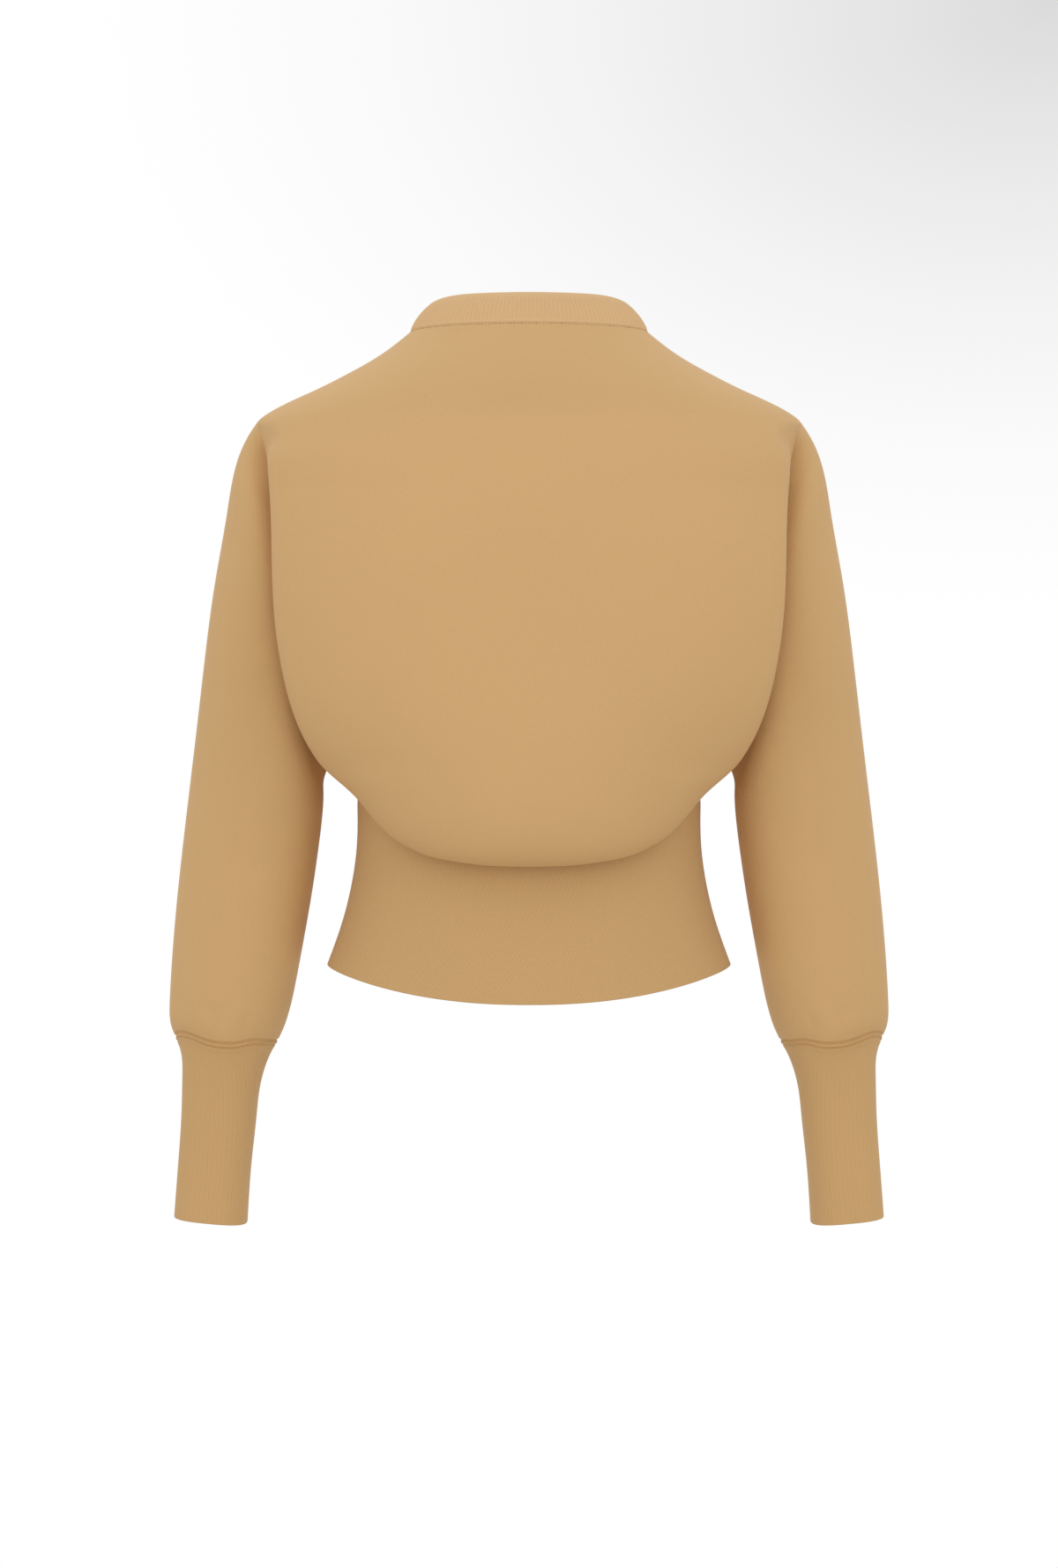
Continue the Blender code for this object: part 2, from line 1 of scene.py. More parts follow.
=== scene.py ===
"""A knitted cardigan with a blousing back, hollow and filled out as worn.

The sections follow the garment as it is sewn together: body and sleeves, cuffs and waistband, collar,
front bands, buttons, stitching, and then the studio. Sizes are in millimetres and become metres when
a mesh is made. +Z is up, the front faces -Y and the wearer's left is +X.
"""

import math

import bmesh
import bpy
import mathutils
import numpy as np
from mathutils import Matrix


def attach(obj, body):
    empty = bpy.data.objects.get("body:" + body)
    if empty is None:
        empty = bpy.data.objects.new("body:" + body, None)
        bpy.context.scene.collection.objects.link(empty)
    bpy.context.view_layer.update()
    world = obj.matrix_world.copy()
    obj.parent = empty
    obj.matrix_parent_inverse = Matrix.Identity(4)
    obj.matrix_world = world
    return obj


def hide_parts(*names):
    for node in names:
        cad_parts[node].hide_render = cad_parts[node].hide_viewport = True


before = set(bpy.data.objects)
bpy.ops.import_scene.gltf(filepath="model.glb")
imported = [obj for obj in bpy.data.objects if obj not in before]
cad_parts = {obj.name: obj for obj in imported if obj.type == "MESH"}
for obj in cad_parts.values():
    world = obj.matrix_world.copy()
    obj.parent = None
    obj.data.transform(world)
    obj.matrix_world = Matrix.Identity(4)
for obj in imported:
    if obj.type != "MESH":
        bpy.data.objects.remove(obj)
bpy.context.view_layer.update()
MM = 0.001
MIRROR = np.array([-1.0, 1.0, 1.0])


# ---------------------------------------------------------------- back and fronts
# The back and the two fronts: brushed cotton jersey, cut full and eased into the waistband, so that
# they blouse over it. Beside the sleeve the cloth folds back to an armhole seam deep in the fold.

WALL = 1.8
# Columns: height, half_width, along the shoulder seam to the armhole.
SHOULDER_SEAM = [(-5, 86), (-19, 103.5), (-38, 135.5), (-50, 159.5), (-58, 177), (-70, 196.5)]
SHOULDER = [(height, half_width, 1) for height, half_width in SHOULDER_SEAM[:-1]]
# Columns: height, half_width, depth, from the neck point down the fold and round the bag's edge.
BACK_OUTLINE = SHOULDER + [
    (-70, 196.5, 4), (-83, 191.3, 31), (-105, 186, 52), (-131, 183, 63), (-165, 181, 72),
    (-215, 178.5, 77), (-242, 175, 77), (-265, 170.5, 75), (-290, 163, 68), (-308, 154.5, 60),
    (-321, 145.5, 54), (-334, 131, 60), (-345, 119.5, 66), (-355, 111.5, 70), (-362.5, 105, 73),
    (-370.5, 96.5, 77.5), (-378.5, 83.5, 83.5), (-383.5, 72, 88), (-387, 57, 92), (-390, 36, 96),
    (-391.5, 0, 98),
]
FRONT_OUTLINE = SHOULDER + [
    (-70, 196.5, -3), (-83, 190.5, -26), (-105, 184, -40), (-131, 180.5, -49), (-165, 178.5, -57),
    (-215, 176, -62), (-265, 167, -63), (-290, 158.5, -59), (-308, 150, -53), (-321, 142, -48),
    (-333, 128, -56), (-345, 111, -67), (-357, 92, -76.5), (-366, 70, -83.5), (-372, 40, -89),
    (-374, 0, -91.5),
]
# Columns: height, depth, down the middle.
BACK_MIDDLE = [
    (-5, 58), (-38, 80), (-80, 98), (-131, 113), (-215, 126), (-285, 131.5), (-335, 131.5),
    (-362, 128), (-378, 121.5), (-388, 111.5), (-391.5, 98),
]
FRONT_MIDDLE = [
    (-5, -22), (-30, -46), (-66, -71), (-100, -86), (-150, -100), (-215, -109), (-285, -112.5),
    (-325, -112), (-348, -108.5), (-362, -103.5), (-371, -97), (-374, -91.5),
]
# Columns: side_height, back_drop, front_drop. How far each row hangs lower in the middle.
ROW_DROP = [
    (-5, 1, 61), (-38, 4, 46), (-70, 8, 32), (-131, 14, 16), (-200, 24, 12), (-265, 42, 26),
    (-300, 59, 42), (-321, 70, 53),
]
NECK_ROW_ROUND = 2.2
NECK_ROW_DROP = 0.8
# How flat the panels are across, and how round at their edges (0.5 is full, 1 none), with depth
# below the neck.
FLATNESS = [5, 80], [2.0, 2.35]
EDGE_ROUND = [70, 125, 300, 345], [0.5, 0.8, 0.75, 0.6]
NECK_POINT = -5
LOWEST_SHOULDER = -70
UNDERARM = -320
BAG_FROM = UNDERARM - 1  # from here down the panels turn under as a bag
ARMHOLE = dict(top_x=196.5, middle_x=166, under_x=146, centre_y=1, half_back=51, half_front=47,
               bend_above=2, bend_below=1.5, roundness=0.8)
# The fold beside the sleeve: the heights between which the cloth comes to overhang the armhole seam,
# the radius of its turn and where that comes and goes, and the strip's curve from seam to fold.
OVERHANG = dict(none=-78, full=-104)
ROLL = dict(radius=5, from_height=-75, full_from=-105, full_to=-325, to_height=-350)
STRIP = dict(bow=0.12, less_under_arm=0.22, pull_seam=0.35, pull_fold=0.42)
UNDER = dict(inward_middle=0.7, inward_side=0.2, sag=1.2, side_drop=0.4, inward_seam=0.34,
             below_seam=0.45)
# Columns: side_height, half_width, back_depth, front_depth, back_drop, front_drop.
WAISTBAND = [
    (-343, 124.5, 92, 85, 9, 9), (-375, 124.7, 93, 86, 11, 5), (-403, 128.3, 96, 89, 14, 2),
    (-432, 135.4, 101, 93, 18, -1), (-462, 146, 106, 97, 22, -4),
]
WAIST_ROUND = 2.2
BAND_EDGE = 15  # the front panels end at this distance from the middle

# How finely the curves are read, and the rows and columns of the grids.
OUTLINE_SAMPLES, MIDDLE_SAMPLES, DROP_SAMPLES = 900, 500, 400
SHOULDER_ROWS = 36
ARMHOLE_ROWS = 100
UNDER_ROWS = 26
STRIP_COLUMNS = 26
PANEL_COLUMNS = 74
EVEN_ROWS = 0.75  # how even the panel's rows are: 1 is even, 0 spaced as they are round the armhole
CLOSER_AT_FOLD = 1.4


def smooth(knots, values, at):
    """A natural cubic spline through the values at the knots."""
    knots, values, at = (np.asarray(part, float) for part in (knots, values, at))
    step = np.diff(knots)
    slope = (np.diff(values, axis=0).T / step).T
    system = np.eye(len(knots))
    bend = np.zeros_like(values)
    for i in range(1, len(knots) - 1):
        system[i, i - 1 : i + 2] = step[i - 1], 2 * (step[i - 1] + step[i]), step[i]
        bend[i] = 6 * (slope[i] - slope[i - 1])
    bend = np.linalg.solve(system, bend)
    i = np.clip(np.searchsorted(knots, at) - 1, 0, len(step) - 1)
    after = (at - knots[i]) / step[i]
    before = 1 - after
    pull_before = (before**3 - before) * step[i] ** 2 / 6
    pull_after = (after**3 - after) * step[i] ** 2 / 6
    return (before * values[i].T + after * values[i + 1].T + pull_before * bend[i].T
            + pull_after * bend[i + 1].T).T


def along(points, shares):
    """The smooth curve through the points, read at shares of its length."""
    points = np.asarray(points, float)
    knots = np.r_[0, np.cumsum(np.linalg.norm(np.diff(points, axis=0), axis=1))]
    return smooth(knots, points, np.asarray(shares) * knots[-1])


def falling(table, at, column):
    """A column of a finely sampled table whose first column falls, read at a height."""
    return np.interp(-np.asarray(at), -table[:, 0], table[:, column])


def bezier(start, pull_start, pull_end, end, share):
    share = np.asarray(share, float).reshape(-1, 1)
    rest = 1 - share
    return (rest**3 * start + 3 * rest**2 * share * pull_start
            + 3 * rest * share**2 * pull_end + share**3 * end)


def ease(share):
    share = np.clip(share, 0, 1)
    return share * share * (3 - 2 * share)


def ramp(value, none, full):
    """0 at none and 1 at full, softly."""
    return ease((value - none) / (full - none))


def unit(vectors):
    return vectors / np.maximum(np.linalg.norm(vectors, axis=-1, keepdims=True), 1e-9)


def armhole_point(angle, facing):
    """A point of the armhole loop, from the shoulder (0) to the underarm (pi)."""
    high = math.cos(angle)
    end, bend = ("top_x", "bend_above") if high > 0 else ("under_x", "bend_below")
    x = ARMHOLE["middle_x"] + (ARMHOLE[end] - ARMHOLE["middle_x"]) * abs(high) ** ARMHOLE[bend]
    half = ARMHOLE["half_back"] if facing > 0 else ARMHOLE["half_front"]
    y = ARMHOLE["centre_y"] + facing * half * max(math.sin(angle), 0) ** ARMHOLE["roundness"]
    z = (LOWEST_SHOULDER + UNDERARM) / 2 + (LOWEST_SHOULDER - UNDERARM) / 2 * high
    return np.array([x, y, z])


def waist_point(turn, row, facing):
    """A point of the waistband: turn 0 at the side, a quarter turn in the middle."""
    side, half_width, back, front, back_drop, front_drop = row
    depth, drop = (back, back_drop) if facing > 0 else (front, front_drop)
    share = 2 / WAIST_ROUND
    x = half_width * max(math.cos(turn), 0) ** share
    y = facing * depth * max(math.sin(turn), 0) ** share
    return np.array([x, y, side - drop * math.sin(turn) ** 2])


def turn_at(x, half_width):
    """The turn at which the waistband is x from the middle."""
    return math.acos((abs(x) / half_width) ** (WAIST_ROUND / 2))


def side_heights():
    """Each row's height on the panel, where the rows are more even than along the armhole."""
    shoulder = np.linspace(NECK_POINT, LOWEST_SHOULDER, SHOULDER_ROWS + 1)
    share = np.arange(1, ARMHOLE_ROWS + 1) / ARMHOLE_ROWS
    eased = (1 - EVEN_ROWS) * (1 - np.cos(math.pi * share)) / 2 + EVEN_ROWS * share
    return [*shoulder, *(LOWEST_SHOULDER + (UNDERARM - LOWEST_SHOULDER) * eased)]


class Panel:
    """The back (facing 1) or the front (facing -1), as a surface over its outline."""

    def __init__(self, outline, middle, drop_column, facing):
        self.facing = facing
        self.outline = along(outline, np.linspace(0, 1, OUTLINE_SAMPLES))
        self.middle = along(middle, np.linspace(0, 1, MIDDLE_SAMPLES))
        heights = np.linspace(NECK_POINT, BAG_FROM, DROP_SAMPLES)
        drops = np.array(ROW_DROP, float)
        self.drops = np.c_[heights, smooth(-drops[:, 0], drops[:, drop_column], -heights)]
        self.lower = self.outline[self.outline[:, 0] <= BAG_FROM][::-1]
        self.bag_corner = falling(self.outline, BAG_FROM, 1)
        self.bag_drop = BAG_FROM - self.outline[-1, 0]

    def surface(self, x, z):
        half_width = np.maximum(falling(self.outline, z, 1), 0.5)
        edge = falling(self.outline, z, 2)
        middle = falling(self.middle, z, 1)
        flatness = np.interp(-z, *FLATNESS)
        across = np.minimum(np.abs(x) / half_width, 1)
        rolled = ramp(z, ROLL["from_height"], ROLL["full_from"]) * ramp(z, ROLL["to_height"], ROLL["full_to"])
        turn = np.clip((half_width - np.abs(x)) / ROLL["radius"], 0, 1)
        edge = edge + self.facing * ROLL["radius"] * rolled * np.sqrt(1 - (1 - turn) ** 2)
        y = edge + (middle - edge) * (1 - across**flatness) ** np.interp(-z, *EDGE_ROUND)
        return np.stack([x, y, z], axis=-1)

    def row(self, side_z, x):
        """The surface points at each x on the row that starts at a height beside the sleeve."""
        across = np.minimum(np.abs(x) / falling(self.outline, side_z, 1), 1)
        neck = (1 - across**NECK_ROW_ROUND) ** NECK_ROW_DROP
        lower = ramp(side_z, LOWEST_SHOULDER, UNDERARM)
        edge_z = np.interp(across * self.bag_corner, self.lower[:, 1], self.lower[:, 0])
        share = (1 - lower) * neck + lower * (BAG_FROM - edge_z) / self.bag_drop
        return self.surface(x, side_z - falling(self.drops, side_z, 1) * share)

    def whole_row(self, number, side_z, last_x):
        """One row from the armhole or shoulder seam over the fold to the middle."""
        edge_x = falling(self.outline, side_z, 1)
        overhang = ramp(side_z, OVERHANG["none"], OVERHANG["full"])
        column = np.arange(STRIP_COLUMNS + PANEL_COLUMNS + 1)
        even = np.cos(math.pi / 2 * column / column[-1])
        folded = 1 - (np.maximum(column - STRIP_COLUMNS, 0) / PANEL_COLUMNS) ** CLOSER_AT_FOLD
        outward = (1 - overhang) * even + overhang * folded
        points = self.row(side_z, last_x + (edge_x - last_x) * outward)
        if number < SHOULDER_ROWS:
            heights, widths = np.array(SHOULDER_SEAM, float).T
            points[0] = smooth(-heights, widths, -side_z), ARMHOLE["centre_y"], side_z
            return points
        fold = self.row(side_z, np.array([edge_x]))[0]
        angle = math.pi * (number - SHOULDER_ROWS) / ARMHOLE_ROWS
        seam = armhole_point(angle, self.facing)
        share = column[: STRIP_COLUMNS + 1] / STRIP_COLUMNS
        reach = self.facing * abs(fold[1] - seam[1])
        bow = abs(reach) * (STRIP["bow"] - STRIP["less_under_arm"] * max(-math.cos(angle), 0))
        strip = bezier(seam, seam + [bow, reach * STRIP["pull_seam"], 0],
                       fold - [0, reach * STRIP["pull_fold"], 0], fold, share)
        joined = points[: STRIP_COLUMNS + 1] + (seam - fold) * (1 - share)[:, None]
        points[: STRIP_COLUMNS + 1] = (1 - overhang) * joined + overhang * strip
        return points

    def under(self, start, turn, side, shares):
        """The cloth that turns under the bag, from a point of its edge up to the waist seam."""
        end = waist_point(turn, WAISTBAND[0], self.facing)
        inward = (end - start) * [1, 1, 0]
        rise = end[2] - start[2]
        set_off = UNDER["inward_middle"] * (1 - side) + UNDER["inward_side"] * side
        sag = UNDER["sag"] * (1 - side) + UNDER["side_drop"] * max(-rise, 0)
        first = start + inward * set_off - [0, 0, sag]
        last = end - inward * UNDER["inward_seam"] - [0, 0, UNDER["below_seam"] * rise]
        return bezier(start, first, last, end, shares)

    def half(self, last_x):
        """The half panel's grid, and each column's turn at the waist seam."""
        rows = [self.whole_row(n, z, last_x) for n, z in enumerate(side_heights())]
        half_width, back, front = WAISTBAND[0][1:4]
        depth = back if self.facing > 0 else front
        turns, columns = [], []
        for number, start in enumerate(rows[-1]):
            turn = math.atan2(abs(start[1]) / depth, start[0] / half_width) if number else 0
            if number == len(rows[-1]) - 1:
                turn = turn_at(last_x, half_width)
            side = max(1 - number / STRIP_COLUMNS, 0)
            shares = np.linspace(0, 1, UNDER_ROWS + 1)[1:]
            columns.append(self.under(start, turn, side, shares))
            turns.append(turn)
        return np.concatenate([rows, np.stack(columns, axis=1)]), turns


back_panel = Panel(BACK_OUTLINE, BACK_MIDDLE, 1, 1)
front_panel = Panel(FRONT_OUTLINE, FRONT_MIDDLE, 2, -1)
back_half, back_turns = back_panel.half(0)
front_half, front_turns = front_panel.half(BAND_EDGE)


# ---------------------------------------------------------------- sleeves
# The sleeves: the same jersey, full at the top and gathered in at the cuff. Each ring starts on the
# outer line and runs over the back to the inner line, and its points meet the armhole's one by one.

# Columns: outer_x, outer_z, inner_x, inner_z, centre_y, half_depth, from armhole to cuff seam.
SLEEVE = [
    (196.5, -70, 146, -320, 1, 49), (203.8, -79, 147.2, -323.3, 1, 49.4),
    (211.6, -98, 149, -329, 1, 50), (219, -138, 149.5, -340, 0, 50),
    (227, -184, 150.5, -356, -1, 49), (235, -242, 153.5, -380, -3, 47),
    (242, -300, 158, -410, -5, 45), (250, -365, 164, -444, -7, 43), (258, -440, 171.5, -483, -9, 41),
    (261.3, -490, 176, -502, -10, 39), (260.3, -510, 180, -515, -10, 36),
    (257.2, -518, 183.4, -523, -10, 33),
]
SLEEVE_RINGS = 112
CLOSER_AT_ARMHOLE = 0.92
SEAM_RINGS, CLOSER_FROM = 14, 0.975  # closer rings by the cuff seam, and the share where they start
ARM_ROUND = 2.6  # 2 is an ellipse, and more is fuller
ARMHOLE_FADES_BY = 0.35  # the share of the sleeve along which the armhole's lean fades
# Columns: angle, rise. The cuff seam's waves, in degrees from the outer line over the back.
SEAM_WAVE = [
    (0, 1), (20, 5.2), (37, 6.8), (60, 5.8), (84, 2), (100, 2.2), (116, 4.8), (145, 4.8), (165, 4.6),
    (180, 3.5), (215, 5.5), (245, 2), (285, 7), (325, 4), (360, 1),
]
WAVE_REACH = 20  # how far above and below the seam its waves fade out


def ring_point(row, down, across):
    """A point of a ring: down 1 on its outer line and -1 on its inner one, across 1 at its back."""
    outer_x, outer_z, inner_x, inner_z, centre_y, half_depth = row
    x = (outer_x + inner_x) / 2 + (outer_x - inner_x) / 2 * down
    z = (outer_z + inner_z) / 2 + (outer_z - inner_z) / 2 * down
    return np.array([x, centre_y + half_depth * across, z])


def arm_rings(table, shares, with_armhole):
    rings = []
    for share, row in zip(shares, along(table, shares)):
        fade = 1 - ease(share / ARMHOLE_FADES_BY) if with_armhole else 0
        ring = []
        for k in range(2 * ARMHOLE_ROWS):
            angle = math.pi * k / ARMHOLE_ROWS
            down, across = (math.copysign(abs(v) ** (2 / ARM_ROUND), v)
                            for v in (math.cos(angle), math.sin(angle)))
            point = ring_point(row, down, across)
            if fade:
                facing = 1 if across >= 0 else -1
                seam = armhole_point(angle if facing > 0 else 2 * math.pi - angle, facing)
                point += (seam - ring_point(table[0], down, across)) * fade
            ring.append(point)
        rings.append(ring)
    return np.array(rings)


def waved(rings, seam_ring):
    """Rings near the cuff seam, moved up and down with its waves."""
    angles, rises = np.array(SEAM_WAVE, float).T
    rise = smooth(angles, rises, np.arange(2 * ARMHOLE_ROWS) * 180 / ARMHOLE_ROWS)
    away = np.linalg.norm(rings - rings[seam_ring], axis=2)
    rings[..., 2] += rise * np.exp(-((away / WAVE_REACH) ** 2))
    return rings


even_rings = np.linspace(0, 1, SLEEVE_RINGS) ** CLOSER_AT_ARMHOLE * CLOSER_FROM
sleeve_shares = np.r_[even_rings, np.linspace(CLOSER_FROM, 1, SEAM_RINGS)[1:]]
sleeve = waved(arm_rings(SLEEVE, sleeve_shares, True), -1)


# ---------------------------------------------------------------- cuffs and waistband
# Long cuffs and a deep waistband of fine 1 x 1 rib, narrow where they grip and easing out to a clean
# folded edge. The cuff seam is a double ridge of turned cloth.

# Columns: outer_x, outer_z, inner_x, inner_z, centre_y, half_depth, from cuff seam to cuff edge.
CUFF = [
    (257.2, -518, 183.4, -523, -10, 33), (253, -531, 190.5, -535, -10.5, 29),
    (252.5, -545, 195.5, -549, -11, 26.5), (253.2, -570, 199, -574, -12, 25),
    (255.7, -606, 203, -610, -14, 24.5), (259, -647, 206, -652, -16, 25),
]
CUFF_SEAM_RINGS, CUFF_RINGS, CUFF_CLOSER_TO = 17, 42, 0.075
WAIST_ROWS = 52

cuff_shares = np.r_[np.linspace(0, CUFF_CLOSER_TO, CUFF_SEAM_RINGS)[:-1],
                    np.linspace(CUFF_CLOSER_TO, 1, CUFF_RINGS)]
cuff = waved(arm_rings(CUFF, cuff_shares, False), 0)


def waist_rows(shares):
    table = np.array(WAISTBAND, float)
    heights = table[0, 0] + (table[-1, 0] - table[0, 0]) * np.asarray(shares)
    return smooth(-table[:, 0], table, -heights)


waist_grid = []
for row in waist_rows(np.linspace(0, 1, WAIST_ROWS + 1)):
    last = turn_at(BAND_EDGE, row[1])
    front_side = [waist_point(t / front_turns[-1] * last, row, -1) for t in front_turns[::-1]]
    back_side = [waist_point(turn, row, 1) for turn in back_turns[1:]]
    half_row = np.array(front_side + back_side)
    waist_grid.append(np.concatenate([half_row, half_row[-2::-1] * MIRROR]))
waistband = np.array(waist_grid)


# ---------------------------------------------------------------- the cloth, sewn together
# All pieces but the collar and bands share their seam points. The joined cloth is eased so that the
# shoulder runs on into the sleeve and each fold turns over softly, then creased and given its wall.


class Cloth:
    """A grid of points of one piece. Flip turns its outer side round, tube joins its columns."""

    def __init__(self, name, points, flip=False, tube=False):
        self.name, self.points, self.flip, self.tube = name, points, flip, tube
        down = np.linalg.norm(np.diff(points, axis=0), axis=2)
        around = np.concatenate([points, points[:, :1]], axis=1) if tube else points
        across = np.linalg.norm(np.diff(around, axis=1), axis=2)
        self.down = np.concatenate([np.zeros((1, points.shape[1])), np.cumsum(down, axis=0)])
        self.across = np.concatenate([np.zeros((points.shape[0], 1)), np.cumsum(across, axis=1)], axis=1)

    def quads(self):
        """Each quad's four corners as (row, column), with the column after the last one kept as is."""
        rows, columns = self.points.shape[:2]
        i, j = np.meshgrid(np.arange(rows - 1), np.arange(columns - (not self.tube)), indexing="ij")
        i, j = i.ravel(), j.ravel()
        corners = [(i, j), (i, j + 1), (i + 1, j + 1), (i + 1, j)]
        return corners if not self.flip else corners[::-1]

    def number(self, i, j):
        return i * self.points.shape[1] + j % self.points.shape[1]


def whole(half):
    return np.concatenate([half, half[:, -2::-1] * MIRROR], axis=1)


back = Cloth("back", whole(back_half))
front_left = Cloth("front_left", front_half, flip=True)
front_right = Cloth("front_right", front_half * MIRROR)
sleeve_left = Cloth("sleeve_left", sleeve, tube=True)
sleeve_right = Cloth("sleeve_right", sleeve * MIRROR, flip=True, tube=True)
cuff_left = Cloth("cuff_left", cuff, tube=True)
cuff_right = Cloth("cuff_right", cuff * MIRROR, flip=True, tube=True)
waist = Cloth("waistband", waistband)
sewn = [back, front_left, front_right, sleeve_left, sleeve_right, cuff_left, cuff_right, waist]

JOIN_WITHIN = 0.05

all_points = np.concatenate([piece.points.reshape(-1, 3) for piece in sewn])
_, joined_to = np.unique(np.round(all_points / JOIN_WITHIN), axis=0, return_inverse=True)
joined_to = joined_to.ravel()
joined_count = joined_to.max() + 1
offsets = np.cumsum([0] + [piece.points.shape[0] * piece.points.shape[1] for piece in sewn])


def joined_mean(values):
    """One value a joined point, the mean over the pieces that meet there."""
    values = values.reshape(len(joined_to), -1)
    total = [np.bincount(joined_to, column, joined_count) for column in values.T]
    return np.stack(total, axis=1) / np.bincount(joined_to, minlength=joined_count)[:, None]


def one_side(points):
    """The points, with those of the wearer's right taken to the left."""
    return np.abs(points) * [1, 0, 0] + points * [0, 1, 1]


def joined_normals(points):
    normals = np.zeros((joined_count, 3))
    for piece, offset in zip(sewn, offsets):
        corners = [joined_to[offset + piece.number(i, j)] for i, j in piece.quads()]
        a, b, c, d = (points[corner] for corner in corners)
        facing = np.cross(d - b, c - a)
        for corner in corners:
            for axis in range(3):
                normals[:, axis] += np.bincount(corner, facing[:, axis], joined_count)
    return unit(normals)


# The easing. Strength is strongest round the shoulder point, and none on the open edges.
EASE_STEPS, EASE_SHARE = 240, 0.5
SHOULDER_POINT = (191, 3, -82)
SHOULDER_NEAR, SHOULDER_FAR = 16, 62
SHOULDER_SWELL = 0.5
# The armhole seam is drawn in, so that the sleeve rolls down into the fold beside it.
SEAM_PULL = 17
SEAM_PULL_REACH = 15
SEAM_PULL_DEPTH = 25  # the distance from the middle, front or back, from which the pull is full
SEAM_PULL_FROM, SEAM_PULL_FULL = -70, -98
SEAM_PULL_FADES_BY, SEAM_PULL_FADES_FROM, SEAM_PULL_FADED = 0.6, -150, -280
EVERYWHERE = 0.05
KEEP_SIZE = -0.42  # every second step pushes back out, so that the cloth doesn't shrink

joined = joined_mean(all_points)
first_normals = joined_normals(joined)
edges, rim = [], np.zeros(joined_count, int)
for piece, offset in zip(sewn, offsets):
    corners = [joined_to[offset + piece.number(i, j)] for i, j in piece.quads()]
    for start, end in zip(corners, corners[1:] + corners[:1]):
        edges.append(np.stack([start, end], axis=1))
edges = np.sort(np.concatenate(edges), axis=1)
edges, uses = np.unique(edges, axis=0, return_counts=True)
rim[edges[uses == 1].ravel()] = 1
edges = edges[edges[:, 0] != edges[:, 1]]
to_shoulder = np.linalg.norm(one_side(joined) - SHOULDER_POINT, axis=1)
strength = 1 - ramp(to_shoulder, SHOULDER_NEAR, SHOULDER_FAR)
strength = np.maximum(strength, EVERYWHERE) * (1 - rim)
near = np.maximum(np.bincount(edges.ravel(), minlength=joined_count), 1)
joined += first_normals * SHOULDER_SWELL * (1 - ease(to_shoulder / SHOULDER_FAR))[:, None]
seam_line = np.array([armhole_point(math.pi * (i + 0.5) / ARMHOLE_ROWS, facing)
                      for facing in (1, -1) for i in range(ARMHOLE_ROWS)])
to_seam = np.full(joined_count, np.inf)
for point in seam_line:
    to_seam = np.minimum(to_seam, np.linalg.norm(one_side(joined) - point, axis=1))
pull = SEAM_PULL * np.exp(-((to_seam / SEAM_PULL_REACH) ** 2)) * (1 - rim)
pull *= ramp(joined[:, 2], SEAM_PULL_FROM, SEAM_PULL_FULL)
pull *= 1 - SEAM_PULL_FADES_BY * ramp(joined[:, 2], SEAM_PULL_FADES_FROM, SEAM_PULL_FADED)
joined[:, 1] -= pull * np.clip(joined[:, 1] / SEAM_PULL_DEPTH, -1, 1)
for step in range(EASE_STEPS):
    total = np.empty_like(joined)
    for axis in range(3):
        value = joined[:, axis]
        total[:, axis] = np.bincount(edges[:, 0], value[edges[:, 1]], joined_count)
        total[:, axis] += np.bincount(edges[:, 1], value[edges[:, 0]], joined_count)
    share = KEEP_SIZE if step % 2 else EASE_SHARE
    joined += (total / near[:, None] - joined) * share * strength[:, None]

# Soft creases. Columns: piece, facing, x, z, to_x, to_z, depth (a ridge below 0), half width.
CREASES = [
    ("sleeve", 1, 216, -508, 236, -486, 1.0, 5), ("sleeve", 1, 232, -514, 226, -492, -0.7, 5),
    ("sleeve", 1, 222, -505, 205, -470, 0.8, 7), ("sleeve", 1, 206, -512, 199, -492, 0.8, 4),
    ("sleeve", 1, 246, -506, 252, -478, 0.7, 5), ("sleeve", 1, 186, -402, 218, -372, 1.4, 10),
    ("sleeve", 1, 172, -372, 200, -352, 1.1, 9), ("sleeve", -1, 172, -392, 214, -352, 2.2, 9),
    ("sleeve", -1, 166, -368, 206, -322, 1.8, 8), ("sleeve", -1, 178, -428, 222, -402, 1.9, 9),
    ("sleeve", -1, 205, -508, 216, -476, 1.2, 6), ("sleeve", -1, 228, -510, 240, -484, 0.9, 5),
    ("sleeve", -1, 194, -512, 190, -484, 1.0, 5), ("front", -1, 168, -120, 122, -150, 1.5, 12),
    ("front", -1, 160, -250, 118, -214, 1.9, 13), ("front", -1, 128, -318, 96, -262, 1.6, 11),
    ("front", -1, 72, -358, 64, -318, 1.3, 9), ("front", -1, 40, -364, 46, -334, 0.9, 8),
    ("back", 1, 118, -330, 92, -296, 0.8, 12), ("back", 1, 40, -378, 36, -352, 0.5, 10),
]
CREASE_ENDS = 0.15  # what is left of a crease at its ends


def creased(points, normals, facing, start, end, half_width):
    """How much of a crease each point gets: 1 along its middle, fading at its sides and ends."""
    run = np.array(end, float) - start
    flat = np.stack([np.abs(points[:, 0]), points[:, 2]], axis=1) - start
    share = flat @ run / (run @ run)
    away = np.linalg.norm(flat - np.clip(share, 0, 1)[:, None] * run, axis=1)
    ends = ease(np.clip(share, 0, 1) * 3) * ease((1 - np.clip(share, 0, 1)) * 2)
    side = ease(normals[:, 1] * facing * 2)
    return np.exp(-((away / half_width) ** 2)) * (CREASE_ENDS + (1 - CREASE_ENDS) * ends) * side


# A seam draws the cloth in. Columns: pieces, edge, depth, half width.
SEAMS = [
    ("back", "shoulder", 0.35, 1.4), ("front", "shoulder", 0.35, 1.4), ("sleeve", "last", 1.6, 1.3),
    ("waistband", "first", 0.6, 2),
]
SEAM_FADES, SEAM_FADED = SHOULDER_ROWS - 14, SHOULDER_ROWS - 4  # rows of the shoulder seam
